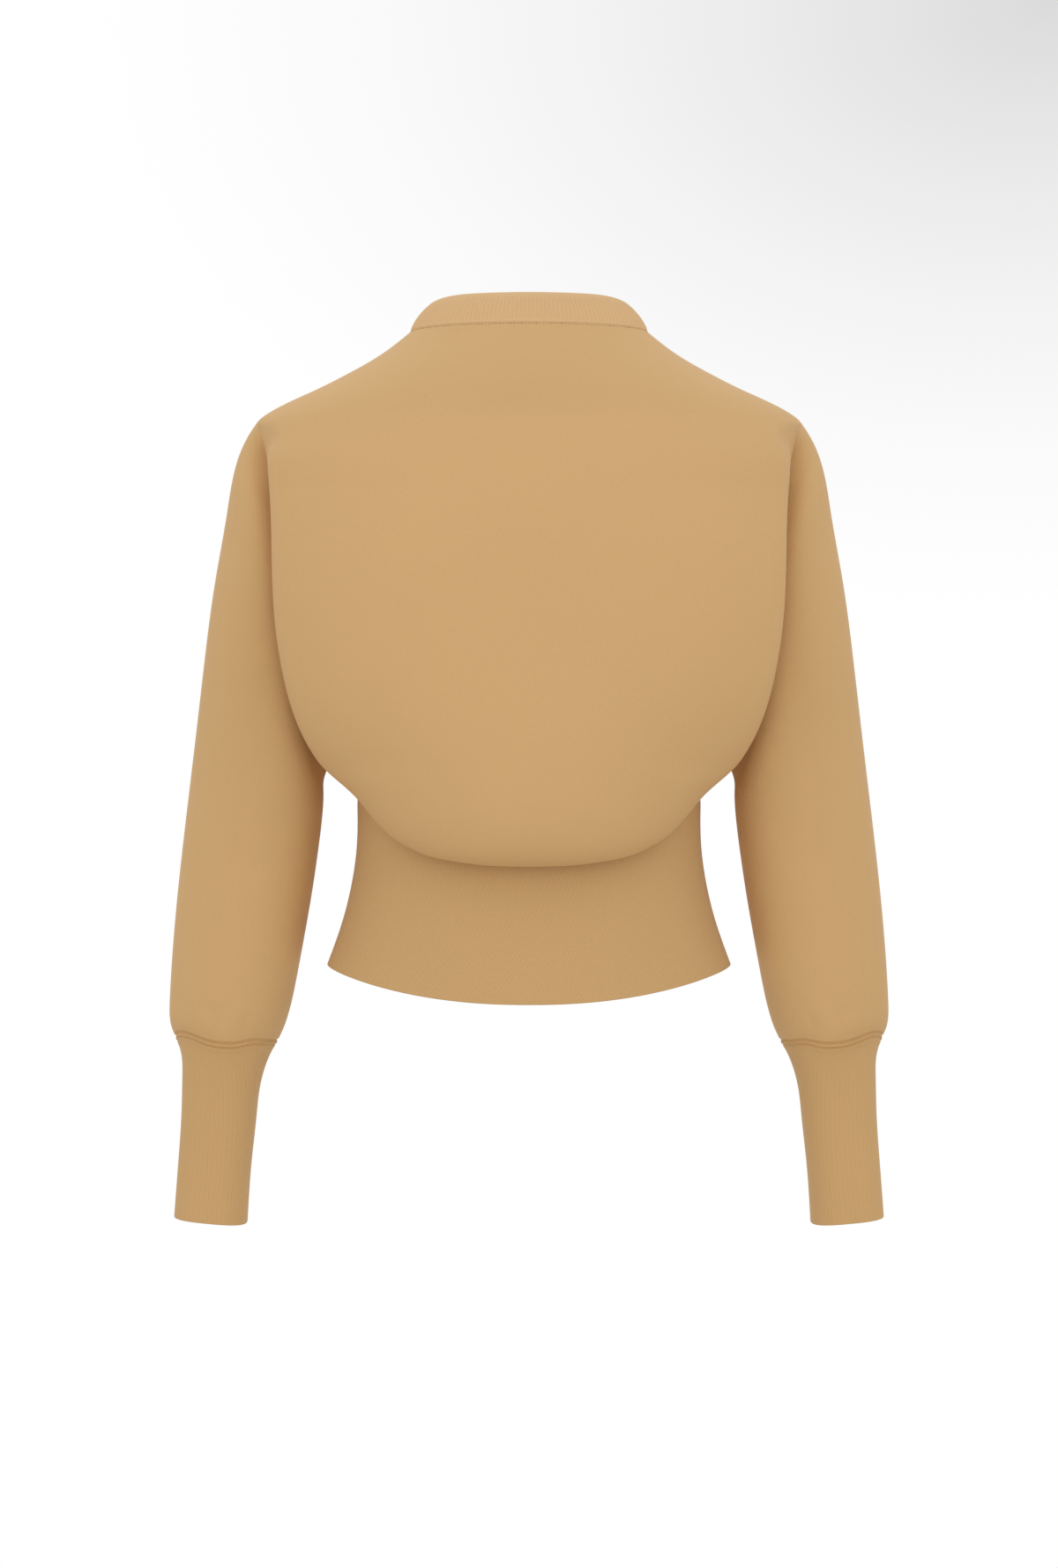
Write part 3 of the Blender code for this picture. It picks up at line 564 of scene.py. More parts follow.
# Columns: distance below the cuff seam, how far the cloth stands out there.
CUFF_RIDGES = [(0, -1.8), (1, 0), (1.8, 0.7), (2.5, 0.1), (3.2, -1), (4, 0), (5.1, 0.45), (8, 0)]
RIDGES_AT_SIDES = 0.4  # how high they stand at the outer and inner line, as a share

normals = joined_normals(joined)
moves = []
for piece, offset in zip(sewn, offsets):
    own = joined_to[offset : offset + piece.points.shape[0] * piece.points.shape[1]]
    points, out = joined[own], normals[own]
    move = np.zeros(len(own))
    for name, facing, x, z, to_x, to_z, depth, half_width in CREASES:
        if piece.name.startswith(name):
            move -= depth * creased(points, out, facing, (x, z), (to_x, to_z), half_width)
    for name, edge, depth, half_width in SEAMS:
        if not piece.name.startswith(name):
            continue
        away, fade = piece.down, 1
        if edge == "last":
            away = piece.down[-1] - piece.down
        elif edge == "shoulder":
            away = piece.across
            if name == "back":
                away = np.minimum(away, away[:, ::-1])
            fade = 1 - ramp(np.arange(len(away)), SEAM_FADES, SEAM_FADED)[:, None]
        away = away[:, : piece.points.shape[1]]
        move -= (depth * fade * np.exp(-((away / half_width) ** 2))).ravel()
    if piece.name.startswith("cuff"):
        distances, heights = np.array(CUFF_RIDGES, float).T
        below = piece.down.ravel()
        turn = math.pi * np.arange(2 * ARMHOLE_ROWS) / ARMHOLE_ROWS
        plain = np.tile(RIDGES_AT_SIDES + (1 - RIDGES_AT_SIDES) * np.abs(np.sin(turn)), len(piece.down))
        move += np.where(below > distances[-1], 0, smooth(distances, heights, below)) * plain
    moves.append(move)
joined += normals * joined_mean(np.concatenate(moves))
normals = joined_normals(joined)


def perimeter(rows, columns, tube):
    """The grid's open edges as closed loops of (row, column)."""
    if tube:
        return [[(0, j) for j in range(columns)], [(rows - 1, j) for j in range(columns)]]
    top = [(0, j) for j in range(columns - 1)]
    right = [(i, columns - 1) for i in range(rows - 1)]
    bottom = [(rows - 1, j) for j in range(columns - 1, 0, -1)]
    left = [(i, 0) for i in range(rows - 1, 0, -1)]
    return [top + right + bottom + left]


def place(name, data):
    """Puts a mesh, lamp or camera into the scene as an object."""
    thing = bpy.data.objects.new(name, data)
    bpy.context.scene.collection.objects.link(thing)
    return thing


def shell(piece, outer, out, material, free=(), own_normals=True):
    """A closed mesh of the cloth. Free names the edges that are folded over round, as a hem is."""
    rows, columns = piece.points.shape[:2]
    inner = outer - out * WALL
    points = [outer.reshape(-1, 3), inner.reshape(-1, 3)]
    facings = [out.reshape(-1, 3), -out.reshape(-1, 3)]
    across, down = piece.across, piece.down
    faces, uvs = [], []
    for side, corners in enumerate((piece.quads(), piece.quads()[::-1])):
        faces.append(np.stack([side * rows * columns + piece.number(i, j) for i, j in corners], axis=1))
        u = np.stack([across[i, j] for i, j in corners], axis=1)
        if piece.tube:
            late = piece.quads()[0][1] >= columns / 2
            u = u - late[:, None] * np.stack([across[i, -1] for i, _ in corners], axis=1)
        uvs.append(np.stack([u, np.stack([down[i, j % columns] for i, j in corners], axis=1)], axis=2))
    count = 2 * rows * columns
    for loop in perimeter(rows, columns, piece.tube):
        i, j = np.array(loop).T
        o, w, n = outer[i, j], inner[i, j], out[i, j]
        # Each edge: which points are on it, and the step from it into the cloth, down and across.
        edges_here = {"first": (i == 0, 1, 0), "last": (i == rows - 1, -1, 0)}
        if not piece.tube:
            edges_here.update(left=(j == 0, 0, 1), right=(j == columns - 1, 0, -1))
        inward, round_here = np.zeros_like(o), np.zeros(len(i), bool)
        for edge, (here, step_down, step_across) in edges_here.items():
            next_in = outer[np.clip(i + step_down, 0, rows - 1), np.clip(j + step_across, 0, columns - 1)]
            inward += np.where(here[:, None], next_in - o, 0)
            round_here |= here & (edge in free)
        beyond = -unit(inward)
        rings = [piece.number(i, j)]
        for turn in (0.25, 0.5, 0.75):  # shares of the half turn from the outer side to the inner
            lean, reach = math.cos(math.pi * turn), math.sin(math.pi * turn)
            swell = np.where(round_here, reach, 0)[:, None] * WALL / 2
            points.append((o + w) / 2 + (o - w) / 2 * lean + beyond * swell)
            facings.append(unit(n * lean + beyond * reach))
            rings.append(count + np.arange(len(i)))
            count += len(i)
        rings.append(rows * columns + piece.number(i, j))
        edge_uv = np.stack([across[i, j], down[i, j]], axis=1)
        for upper, lower in zip(rings, rings[1:]):
            faces.append(np.stack([upper, np.roll(upper, -1), np.roll(lower, -1), lower], axis=1))
            uvs.append(np.stack([edge_uv] * 4, axis=1))
    data = bpy.data.meshes.new(piece.name)
    data.from_pydata((np.concatenate(points) * MM).tolist(), [], np.concatenate(faces).tolist())
    layer = data.uv_layers.new(name="knit")
    layer.data.foreach_set("uv", np.concatenate(uvs).astype(np.float32).ravel())
    made = bmesh.new()
    made.from_mesh(data)
    bmesh.ops.recalc_face_normals(made, faces=made.faces)
    made.to_mesh(data)
    made.free()
    data.shade_smooth()
    if own_normals:
        data.normals_split_custom_set_from_vertices(np.concatenate(facings).tolist())
    data.materials.append(material)
    return place(piece.name + "_cloth", data)


def shade(value):
    """An sRGB hex colour as the linear colour that a shader takes."""
    parts = [int(value[i : i + 2], 16) / 255 for i in (1, 3, 5)]
    return (*[c / 12.92 if c <= 0.04045 else ((c + 0.055) / 1.055) ** 2.4 for c in parts], 1)


def add(tree, kind, settings=None, inputs=None):
    """Adds a node with its settings. An input is a value, or another node's output to link."""
    node = tree.nodes.new(kind)
    for name, value in (settings or {}).items():
        setattr(node, name, value)
    for name, value in (inputs or {}).items():
        if isinstance(value, bpy.types.NodeSocket):
            tree.links.new(value, node.inputs[name])
        else:
            node.inputs[name].default_value = value
    return node


def maths(tree, operation, *values):
    """Adds a sum on values or outputs, and gives its output."""
    return add(tree, "ShaderNodeMath", {"operation": operation}, dict(enumerate(values))).outputs[0]


def finish(name, **values):
    """A new material, with values for its shader's sockets. Gives the material, its tree and shader."""
    material = bpy.data.materials.new(name)
    material.use_nodes = True
    shader = material.node_tree.nodes["Principled BSDF"]
    for socket, value in values.items():
        shader.inputs[socket.replace("_", " ")].default_value = value
    return material, material.node_tree, shader


STITCH_WIDTH, STITCH_HEIGHT, STITCH_DEPTH = 1.4, 1.1, 0.09
# The brushed fibres and the broad unevenness of the dye: how fine they are, and their shading.
FUZZ_SCALE, FUZZ_SHADE, FUZZ_DEPTH = 1400.0, 0.08, 0.7 * STITCH_DEPTH
BROAD_SCALE, BROAD_SHADE = 9.0, 0.05


def knit(name, colour, rib_pitch=0.0, rib_depth=0.0):
    """Brushed cotton knit, matt and soft: rows of V-shaped stitches, and ribs where there is a pitch.

    The stitch's size is an assumed gauge, drawn coarse enough to show."""
    material, tree, shader = finish(name, Roughness=0.92, Specular_IOR_Level=0.25, Sheen_Weight=0.12,
                                    Sheen_Roughness=0.55, Sheen_Tint=shade("#F3DDBB"))
    along_knit = add(tree, "ShaderNodeUVMap", {"uv_map": "knit"})
    split = add(tree, "ShaderNodeSeparateXYZ", inputs={0: along_knit.outputs[0]})
    wales = maths(tree, "FRACT", maths(tree, "MULTIPLY", split.outputs[0], 1 / STITCH_WIDTH))
    leg = maths(tree, "ABSOLUTE", maths(tree, "SUBTRACT", wales, 0.5))
    ridge = maths(tree, "COSINE", maths(tree, "MULTIPLY", leg, 2 * math.pi))
    slant = maths(tree, "ADD", maths(tree, "MULTIPLY", split.outputs[1], 1 / STITCH_HEIGHT), leg)
    loop = maths(tree, "COSINE", maths(tree, "MULTIPLY", slant, 2 * math.pi))
    both = maths(tree, "ADD", ridge, maths(tree, "MULTIPLY", loop, 0.5))
    height = maths(tree, "MULTIPLY", both, STITCH_DEPTH / 2)
    if rib_pitch:
        ribs = maths(tree, "COSINE", maths(tree, "MULTIPLY", split.outputs[0], 2 * math.pi / rib_pitch))
        height = maths(tree, "ADD", height, maths(tree, "MULTIPLY", ribs, rib_depth / 2))
    spot = add(tree, "ShaderNodeTexCoord").outputs["Object"]
    fuzz = add(tree, "ShaderNodeTexNoise", {}, {"Vector": spot, "Scale": FUZZ_SCALE, "Detail": 2.0})
    height = maths(tree, "ADD", height, maths(tree, "MULTIPLY", fuzz.outputs[0], FUZZ_DEPTH))
    bump = add(tree, "ShaderNodeBump", {}, {"Height": height, "Distance": MM, "Strength": 1.0})
    tree.links.new(bump.outputs[0], shader.inputs["Normal"])
    broad = add(tree, "ShaderNodeTexNoise", {}, {"Vector": spot, "Scale": BROAD_SCALE, "Detail": 3.0})
    level = maths(tree, "MULTIPLY_ADD", broad.outputs[0], BROAD_SHADE, 1 - BROAD_SHADE / 2)
    fine = maths(tree, "MULTIPLY_ADD", fuzz.outputs[0], FUZZ_SHADE, -FUZZ_SHADE / 2)
    level = maths(tree, "ADD", level, fine)
    tint = add(tree, "ShaderNodeMix", {"data_type": "RGBA", "blend_type": "MULTIPLY"},
               {"Factor": 1.0, 6: shade(colour), 7: level})
    tree.links.new(tint.outputs[2], shader.inputs["Base Color"])
    return material


def nodes_of(name):
    """The solids that a piece stands for: one, or the parts that its solid is split into."""
    return [node for node in sorted(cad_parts) if node == name or node.startswith(name + "_")]


jersey = knit("brushed_cotton_jersey", "#D5AC75")
# The rib's own colour, painted a little darker than the jersey as shade where the cuffs and waistband lie
# under the sleeves and the bag.
rib = knit("fine_cotton_rib", "#CFA66F", rib_pitch=2.4, rib_depth=0.12)
# Painted light: the collar is the same rib as the cuffs, painted lighter for its place at the top, where the
# light from above falls on it.
collar_rib_painted_light = knit("fine_cotton_collar_rib", "#E0BA88")
FREE_EDGES = {"cuff_left": ("last",), "cuff_right": ("last",), "waistband": ("last",)}
cloth = {}
for piece, offset in zip(sewn, offsets):
    shape = piece.points.shape
    own = joined_to[offset : offset + shape[0] * shape[1]]
    piece.points = joined[own].reshape(shape)
    knitted = rib if piece.name.startswith(("cuff", "waist")) else jersey
    cloth[piece.name] = shell(piece, piece.points, normals[own].reshape(shape), knitted,
                              FREE_EDGES.get(piece.name, ()))
    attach(cloth[piece.name], "root")
    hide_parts(*nodes_of(piece.name))


# ---------------------------------------------------------------- collar
# A stand collar of 1 x 1 rib, round along its top edge and open at the front. Its ribs stand up
# round the neck, raised by a node tree from each point's place across them.

COLLAR_RISE = 22.5
COLLAR_SIDE_RISE = 18.6
COLLAR_LEAN = 0.15
COLLAR_BELLY = 0.022  # how far the middle of its height swells, as a share of the neck
COLLAR_ROWS = 14
RIB_PITCH = 3.1
RIB_HEIGHT = 1.0
RIB_STEPS = 6  # columns a rib
COLLAR_SIDE = 48  # the depth beyond which the collar has its full rise
# The ribs come in over a fifth of its height from the top, and over a seventh from the seam.
FADES_AT_TOP, FADES_AT_SEAM = 5, 7


def collar_row(seam_points, share):
    narrower = (1 - COLLAR_LEAN * share) * (1 + COLLAR_BELLY * math.sin(math.pi * share))
    fullness = ease(np.abs(seam_points[..., 1]) / COLLAR_SIDE)
    rise = COLLAR_SIDE_RISE + (COLLAR_RISE - COLLAR_SIDE_RISE) * fullness
    return seam_points * [narrower, narrower, 1] + rise[..., None] * [0, 0, share]


def grid_normals(piece):
    """The outward direction at each point of one grid."""
    points = piece.points
    across = np.gradient(points, axis=1)
    normals = unit(np.cross(np.gradient(points, axis=0), across))
    return -normals if piece.flip else normals


def node_group(name, **sockets):
    """A Geometry Nodes tree that takes geometry and the named inputs. Gives the tree and its inputs."""
    tree = bpy.data.node_groups.new(name, "GeometryNodeTree")
    for socket, kind in {"Geometry": "Geometry", **sockets, "Material": "Material"}.items():
        tree.interface.new_socket(socket.replace("_", " "), in_out="INPUT", socket_type="NodeSocket" + kind)
    tree.interface.new_socket("Made", in_out="OUTPUT", socket_type="NodeSocketGeometry")
    return tree, add(tree, "NodeGroupInput").outputs


def finish_group(tree, geometry, material):
    """Ends a tree: its instances are made real and get their material."""
    real = add(tree, "GeometryNodeRealizeInstances", {}, {"Geometry": geometry})
    coloured = add(tree, "GeometryNodeSetMaterial", {},
                   {"Geometry": real.outputs[0], "Material": material})
    add(tree, "NodeGroupOutput", {}, {"Made": coloured.outputs[0]})
    return tree


def stored(tree, name, kind="FLOAT"):
    """The output of an attribute that the mesh holds."""
    return add(tree, "GeometryNodeInputNamedAttribute", {"data_type": kind}, {"Name": name}).outputs[0]


def ribs_tree():
    """Moves each point out along its normal by the wave that its phase attribute holds."""
    tree, given = node_group("knitted_ribs", Rib_height="Float")
    wave = maths(tree, "COSINE", maths(tree, "MULTIPLY", stored(tree, "phase"), 2 * math.pi))
    raised = maths(tree, "MULTIPLY", wave, stored(tree, "rise"))
    tall = maths(tree, "MULTIPLY", raised, given["Rib height"])
    normal = add(tree, "GeometryNodeInputNormal")
    out = add(tree, "ShaderNodeVectorMath", {"operation": "SCALE"}, {0: normal.outputs[0], "Scale": tall})
    moved = add(tree, "GeometryNodeSetPosition", {},
                {"Geometry": given["Geometry"], "Offset": out.outputs[0]})
    return finish_group(tree, moved.outputs[0], given["Material"])


def through_nodes(thing, tree, values):
    """Runs a node tree on an object with its named inputs, and keeps the result as a plain mesh."""
    modifier = thing.modifiers.new(tree.name, "NODES")
    modifier.node_group = tree
    for socket in tree.interface.items_tree:
        if socket.in_out == "INPUT" and socket.name in values:
            modifier[socket.identifier] = values[socket.name]
    bpy.context.view_layer.update()
    made = bpy.data.meshes.new_from_object(thing.evaluated_get(bpy.context.evaluated_depsgraph_get()))
    thing.modifiers.remove(modifier)
    thing.data = made
    made.shade_smooth()


neck_half = np.concatenate([front_left.points[0, ::-1], back.points[0, 1 : len(back_turns)]])
neck_line = np.concatenate([neck_half, neck_half[-2::-1] * MIRROR])
neck_length = np.linalg.norm(np.diff(neck_line, axis=0), axis=1).sum()
rib_count = round(neck_length / RIB_PITCH)
neck_fine = along(neck_line, np.linspace(0, 1, rib_count * RIB_STEPS + 1))
heights = np.linspace(1, 0, COLLAR_ROWS + 1)
collar = Cloth("collar", np.array([collar_row(neck_fine, share) for share in heights]))
cloth["collar"] = shell(collar, collar.points, grid_normals(collar), collar_rib_painted_light, ("first",),
                        own_normals=False)
rows, columns = collar.points.shape[:2]
fade = ease((1 - heights) * FADES_AT_TOP) * ease(heights * FADES_AT_SEAM)
mesh = cloth["collar"].data
for name, one_side_values in (("phase", np.tile(np.arange(columns) / RIB_STEPS, rows)),
                              ("rise", np.repeat(fade, columns))):
    values = np.zeros(len(mesh.vertices))
    values[: 2 * rows * columns] = np.tile(one_side_values, 2)
    mesh.attributes.new(name, "FLOAT", "POINT").data.foreach_set("value", values)
through_nodes(cloth["collar"], ribs_tree(), {"Rib height": RIB_HEIGHT / 2 * MM, "Material": collar_rib_painted_light})
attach(cloth["collar"], "root")
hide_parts("collar")


# ---------------------------------------------------------------- front bands
# The two front bands: rib, sewn to the front edges and run on over the collar and waistband. The
# right one, with the buttonholes, steps up over the left one.

BAND_LAP = 12
BAND_STEP_WIDTH = 2.5
BAND_LIFT = 2.3
BAND_ROWS = 320
BRIDGE_FROM, BRIDGE_TO = 0.5, 0.2  # shares of the cloth under the bag and of the waistband
COLLAR_KNOTS, UNDER_KNOTS, WAIST_KNOTS = 8, 6, 12
LOWER_COLUMNS, UPPER_COLUMNS, STEP_COLUMNS = 19, 18, 8


def band_columns(xs):
    """A band's grid down the front: collar, panel and waistband in one, straight over the fold."""
    columns = []
    for x in xs:
        body = np.array([front_panel.row(z, np.array([abs(x)]))[0] for z in side_heights()])
        turn = turn_at(x, WAISTBAND[0][1])
        under = front_panel.under(body[-1], turn, 0, np.linspace(0, BRIDGE_FROM, UNDER_KNOTS)[1:])
        waist_part = [waist_point(turn_at(x, row[1]), row, -1)
                      for row in waist_rows(np.linspace(BRIDGE_TO, 1, WAIST_KNOTS))]
        top = [collar_row(body[0], share) for share in np.linspace(1, 0, COLLAR_KNOTS)[:-1]]
        column = along(np.concatenate([top, body, under, waist_part]), np.linspace(0, 1, BAND_ROWS))
        columns.append(column * [math.copysign(1, x), 1, 1])
    return np.stack(columns, axis=1)


lower_xs = np.linspace(BAND_EDGE, -BAND_LAP, LOWER_COLUMNS)
upper_xs = np.r_[np.linspace(-BAND_EDGE, BAND_STEP_WIDTH - BAND_EDGE, STEP_COLUMNS)[:-1],
                 np.linspace(BAND_STEP_WIDTH - BAND_EDGE, BAND_LAP, UPPER_COLUMNS)]
lower_band = Cloth("button_band", band_columns(lower_xs), flip=True)
upper_band = Cloth("buttonhole_band", band_columns(upper_xs))
upper_step = ease((upper_xs + BAND_EDGE) / BAND_STEP_WIDTH) * BAND_LIFT
upper_band.points += grid_normals(upper_band) * upper_step[:, None]
for piece, holder in ((lower_band, "front_left_cloth"), (upper_band, "front_right_cloth")):
    cloth[piece.name] = shell(piece, piece.points, grid_normals(piece), rib, ("first", "last", "right"))
    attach(cloth[piece.name], "root")
    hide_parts(piece.name)


# ---------------------------------------------------------------- stitching
# Lockstitch rows: under the collar in a dark thread, the seam's painted shadow, and in matching thread
# down both bands and round each buttonhole. A node tree lays the stitches along a line, each a little uneven.


def stitch_tree():
    """Lays a bead on each step along the lines, turned to the line and to its outward direction."""
    tree, given = node_group("stitches", Spacing="Float", Length="Float", Thickness="Float",
                             Unevenness="Float", Turn="Float", Seed="Int")
    curve = add(tree, "GeometryNodeMeshToCurve", {}, {"Mesh": given["Geometry"]})
    even = add(tree, "GeometryNodeResampleCurve", {"mode": "LENGTH"},
               {"Curve": curve.outputs[0], "Length": given["Spacing"]})
    tangent = add(tree, "GeometryNodeInputTangent")
    along_line = add(tree, "FunctionNodeAlignRotationToVector", {"axis": "X"}, {"Vector": tangent.outputs[0]})
    upright = add(tree, "FunctionNodeAlignRotationToVector", {"axis": "Z", "pivot_axis": "X"},
                  {"Rotation": along_line.outputs[0], "Vector": stored(tree, "out", "FLOAT_VECTOR")})
    turned = add(tree, "FunctionNodeAxisAngleToRotation", {},
                 {"Axis": (0.0, 0.0, 1.0), "Angle": given["Turn"]})
    facing = add(tree, "FunctionNodeRotateRotation", {"rotation_space": "LOCAL"},
                 {"Rotation": upright.outputs[0], "Rotate By": turned.outputs[0]})
    size = add(tree, "FunctionNodeRandomValue", {"data_type": "FLOAT"},
               {"Min": maths(tree, "SUBTRACT", 1.0, given["Unevenness"]), "Max": 1.0, "Seed": given["Seed"]})
    bead = add(tree, "GeometryNodeMeshUVSphere", {}, {"Segments": 8, "Rings": 6, "Radius": 0.5})
    shape = add(tree, "ShaderNodeCombineXYZ", {},
                {"X": given["Length"], "Y": given["Thickness"], "Z": given["Thickness"]})
    stitch = add(tree, "GeometryNodeTransform", {}, {"Geometry": bead.outputs[0], "Scale": shape.outputs[0]})
    laid = add(tree, "GeometryNodeInstanceOnPoints", {},
               {"Points": even.outputs[0], "Instance": stitch.outputs[0], "Rotation": facing.outputs[0],
                "Scale": size.outputs[1]})
    return finish_group(tree, laid.outputs[0], given["Material"])


def thread(name, colour):
    """Spun polyester sewing thread, dull with a slight sheen."""
    return finish(name, Base_Color=shade(colour), Roughness=0.7, Specular_IOR_Level=0.3)[0]


def line_object(name, lines):
    """Edges along lines of points in millimetres, each point holding its outward direction."""
    points = np.concatenate([one for one, _, _ in lines]) * MM
    outs = np.concatenate([outs for _, outs, _ in lines])
    edges, start = [], 0
    for one, _, closed in lines:
        numbers = np.arange(start, start + len(one))
        edges += list(zip(numbers[:-1].tolist(), numbers[1:].tolist()))
        edges += [(int(numbers[-1]), int(numbers[0]))] if closed else []
        start += len(one)
    data = bpy.data.meshes.new(name)
    data.from_pydata(points.tolist(), edges, [])
    data.attributes.new("out", "FLOAT_VECTOR", "POINT").data.foreach_set("vector", outs.ravel())
    return place(name, data)


def line_below(piece, distance, sink):
    """The line at a distance below a grid's first row, and the outward direction along it."""
    normals = grid_normals(piece)
    columns = range(piece.points.shape[1])
    rows = [np.interp(distance, piece.down[:, j], np.arange(len(piece.down))) for j in columns]
    low = np.floor(rows).astype(int)
    share = (np.array(rows) - low)[:, None]
    j = np.array(columns)
    points = piece.points[low, j] * (1 - share) + piece.points[low + 1, j] * share
    return points - normals[low, j] * sink, normals[low, j]


def sew(lines, material, spacing, length, thickness, unevenness, seed, turn=0.0):
    """Turns an object of lines into stitches, their sizes in millimetres."""
    through_nodes(lines, stitches, {
        "Spacing": spacing * MM, "Length": length * MM, "Thickness": thickness * MM,
        "Unevenness": unevenness, "Turn": turn, "Seed": seed, "Material": material})


stitches = stitch_tree()
seam_thread = thread("matching_sewing_thread", "#B98F5E")
# Real stitches under the collar, drawn in a dark colour as the seam's painted shadow.
shadow_thread = thread("seam_thread", "#80592F")
COLLAR_SEAM_BELOW = 0.9
THREAD_SUNK, BAND_THREAD_SUNK = 0.1, 0.15  # how far the stitches lie in the cloth
parts = [line_below(piece, COLLAR_SEAM_BELOW, THREAD_SUNK) for piece in (front_left, back, front_right)]
parts[0] = tuple(part[::-1] for part in parts[0])
neck_seam = tuple(np.concatenate([part[i] for part in parts]) for i in (0, 1))
collar_stitches = line_object("collar_stitches", [(*neck_seam, False)])
sew(collar_stitches, shadow_thread, spacing=2.6, length=2.3, thickness=0.6, unevenness=0.3, seed=3)
lines = []
for piece, column in ((upper_band, 9), (upper_band, -3), (lower_band, 2)):
    out = grid_normals(piece)[:, column]
    lines.append((piece.points[:, column] - out * BAND_THREAD_SUNK, out, False))
band_stitches = line_object("band_stitches", lines)
sew(band_stitches, seam_thread, spacing=2.7, length=2.3, thickness=0.55, unevenness=0.2, seed=7)
for piece in (collar_stitches, band_stitches):
    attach(piece, "root")


# ---------------------------------------------------------------- buttons and buttonholes
# Eight round four-hole buttons of polished horn-coloured resin, 15 mm across, on thread shanks, and
# an upright satin-stitched buttonhole under each.

BUTTON_RADIUS = 7.5
BUTTON_HEIGHT = 3.2
BUTTON_SIDES = 48
BUTTON_GAP = 0.5
BUTTON_CENTRES = [-56, -108, -160, -212, -264, -316, -392, -440]
# Columns: share of the radius, share of the height, from the back over the rim to the dished middle.
BUTTON_PROFILE = [
    (0.66, 0), (0.78, 0.03), (0.9, 0.16), (0.97, 0.34), (1, 0.55), (0.985, 0.74), (0.94, 0.89),
    (0.87, 0.98), (0.8, 1), (0.73, 0.95), (0.66, 0.85), (0.6, 0.76), (0.5, 0.72),
]
HOLE_RADIUS = 0.95
HOLE_REACH = 1.75
HOLE_ACROSS = HOLE_REACH * 0.707  # the holes lie at 45 degrees
DISH_RISE = 0.74  # the share of the button's height at which its thread lies
HOLE_LENGTH, HOLE_WIDTH, HOLE_POINTS = 17, 2.4, 60


def lathe(profile, sides):
    """A closed solid turned about Z from its outline."""
    mesh = bmesh.new()
    rings = []
    for radius, rise in profile:
        angles = [2 * math.pi * i / sides for i in range(sides)]
        rings.append([mesh.verts.new((radius * math.cos(a), radius * math.sin(a), rise)) for a in angles])
    for below, above in zip(rings, rings[1:]):
        for i in range(sides):
            after = (i + 1) % sides
            mesh.faces.new((below[i], below[after], above[after], above[i]))
    mesh.faces.new(rings[0])
    mesh.faces.new(rings[-1])
    bmesh.ops.recalc_face_normals(mesh, faces=mesh.faces)
    return mesh


def button_tree():
    """Sets a copy of a button on each point, facing the point's outward direction."""
    tree, given = node_group("buttons_in_a_row", Button="Object")
    button = add(tree, "GeometryNodeObjectInfo", {}, {"Object": given["Button"]})
    facing = add(tree, "FunctionNodeAlignRotationToVector", {"axis": "Z"},
                 {"Vector": stored(tree, "out", "FLOAT_VECTOR")})
    laid = add(tree, "GeometryNodeInstanceOnPoints", {},
               {"Points": given["Geometry"], "Instance": button.outputs["Geometry"],
                "Rotation": facing.outputs[0]})
    return finish_group(tree, laid.outputs[0], given["Material"])


front_line = band_columns([0.0])[:, 0]
seats = []  # each button's point on the band, and its side, upward and outward directions
for height in BUTTON_CENTRES:
    below = int(np.argmax(front_line[:, 2] <= height))
    share = (front_line[below - 1, 2] - height) / (front_line[below - 1, 2] - front_line[below, 2])
    point = front_line[below - 1] + (front_line[below] - front_line[below - 1]) * share
    side = np.array([1.0, 0, 0])
    out = unit(np.cross(side, front_line[below - 2] - front_line[below + 1]))
    seats.append((point + out * BAND_LIFT, side, np.cross(out, side), out))

body = lathe([(r * BUTTON_RADIUS * MM, h * BUTTON_HEIGHT * MM) for r, h in BUTTON_PROFILE], BUTTON_SIDES)
button = place("button", bpy.data.meshes.new("button"))
body.to_mesh(button.data)
drills = bmesh.new()
for turn in (45, 135, 225, 315):
    x, y = HOLE_REACH * math.cos(math.radians(turn)), HOLE_REACH * math.sin(math.radians(turn))
    made = bmesh.ops.create_cone(drills, cap_ends=True, segments=20, radius1=HOLE_RADIUS * MM,
                                 radius2=HOLE_RADIUS * MM, depth=3 * BUTTON_HEIGHT * MM)
    bmesh.ops.translate(drills, verts=made["verts"], vec=(x * MM, y * MM, 0))
cutter = place("drills", bpy.data.meshes.new("drills"))
drills.to_mesh(cutter.data)
cut = button.modifiers.new("holes", "BOOLEAN")
cut.object, cut.operation = cutter, "DIFFERENCE"
bpy.context.view_layer.update()
holed = bpy.data.meshes.new_from_object(button.evaluated_get(bpy.context.evaluated_depsgraph_get()))
button.modifiers.remove(cut)
button.data = holed
holed.shade_smooth()
holed.set_sharp_from_angle(angle=math.radians(40))


def resin():
    """Horn-coloured polyester resin, polished, with soft darker streaks."""
    material, tree, shader = finish("polished_horn_resin", Roughness=0.28, Coat_Weight=0.3)
    spot = add(tree, "ShaderNodeTexCoord").outputs["Object"]
    streak = add(tree, "ShaderNodeTexNoise", {}, {"Vector": spot, "Scale": 160.0, "Distortion": 1.5})
    mix = add(tree, "ShaderNodeMix", {"data_type": "RGBA"},
              {0: streak.outputs[0], 6: shade("#8A6238"), 7: shade("#5E3F22")})
    tree.links.new(mix.outputs[2], shader.inputs["Base Color"])
    return material


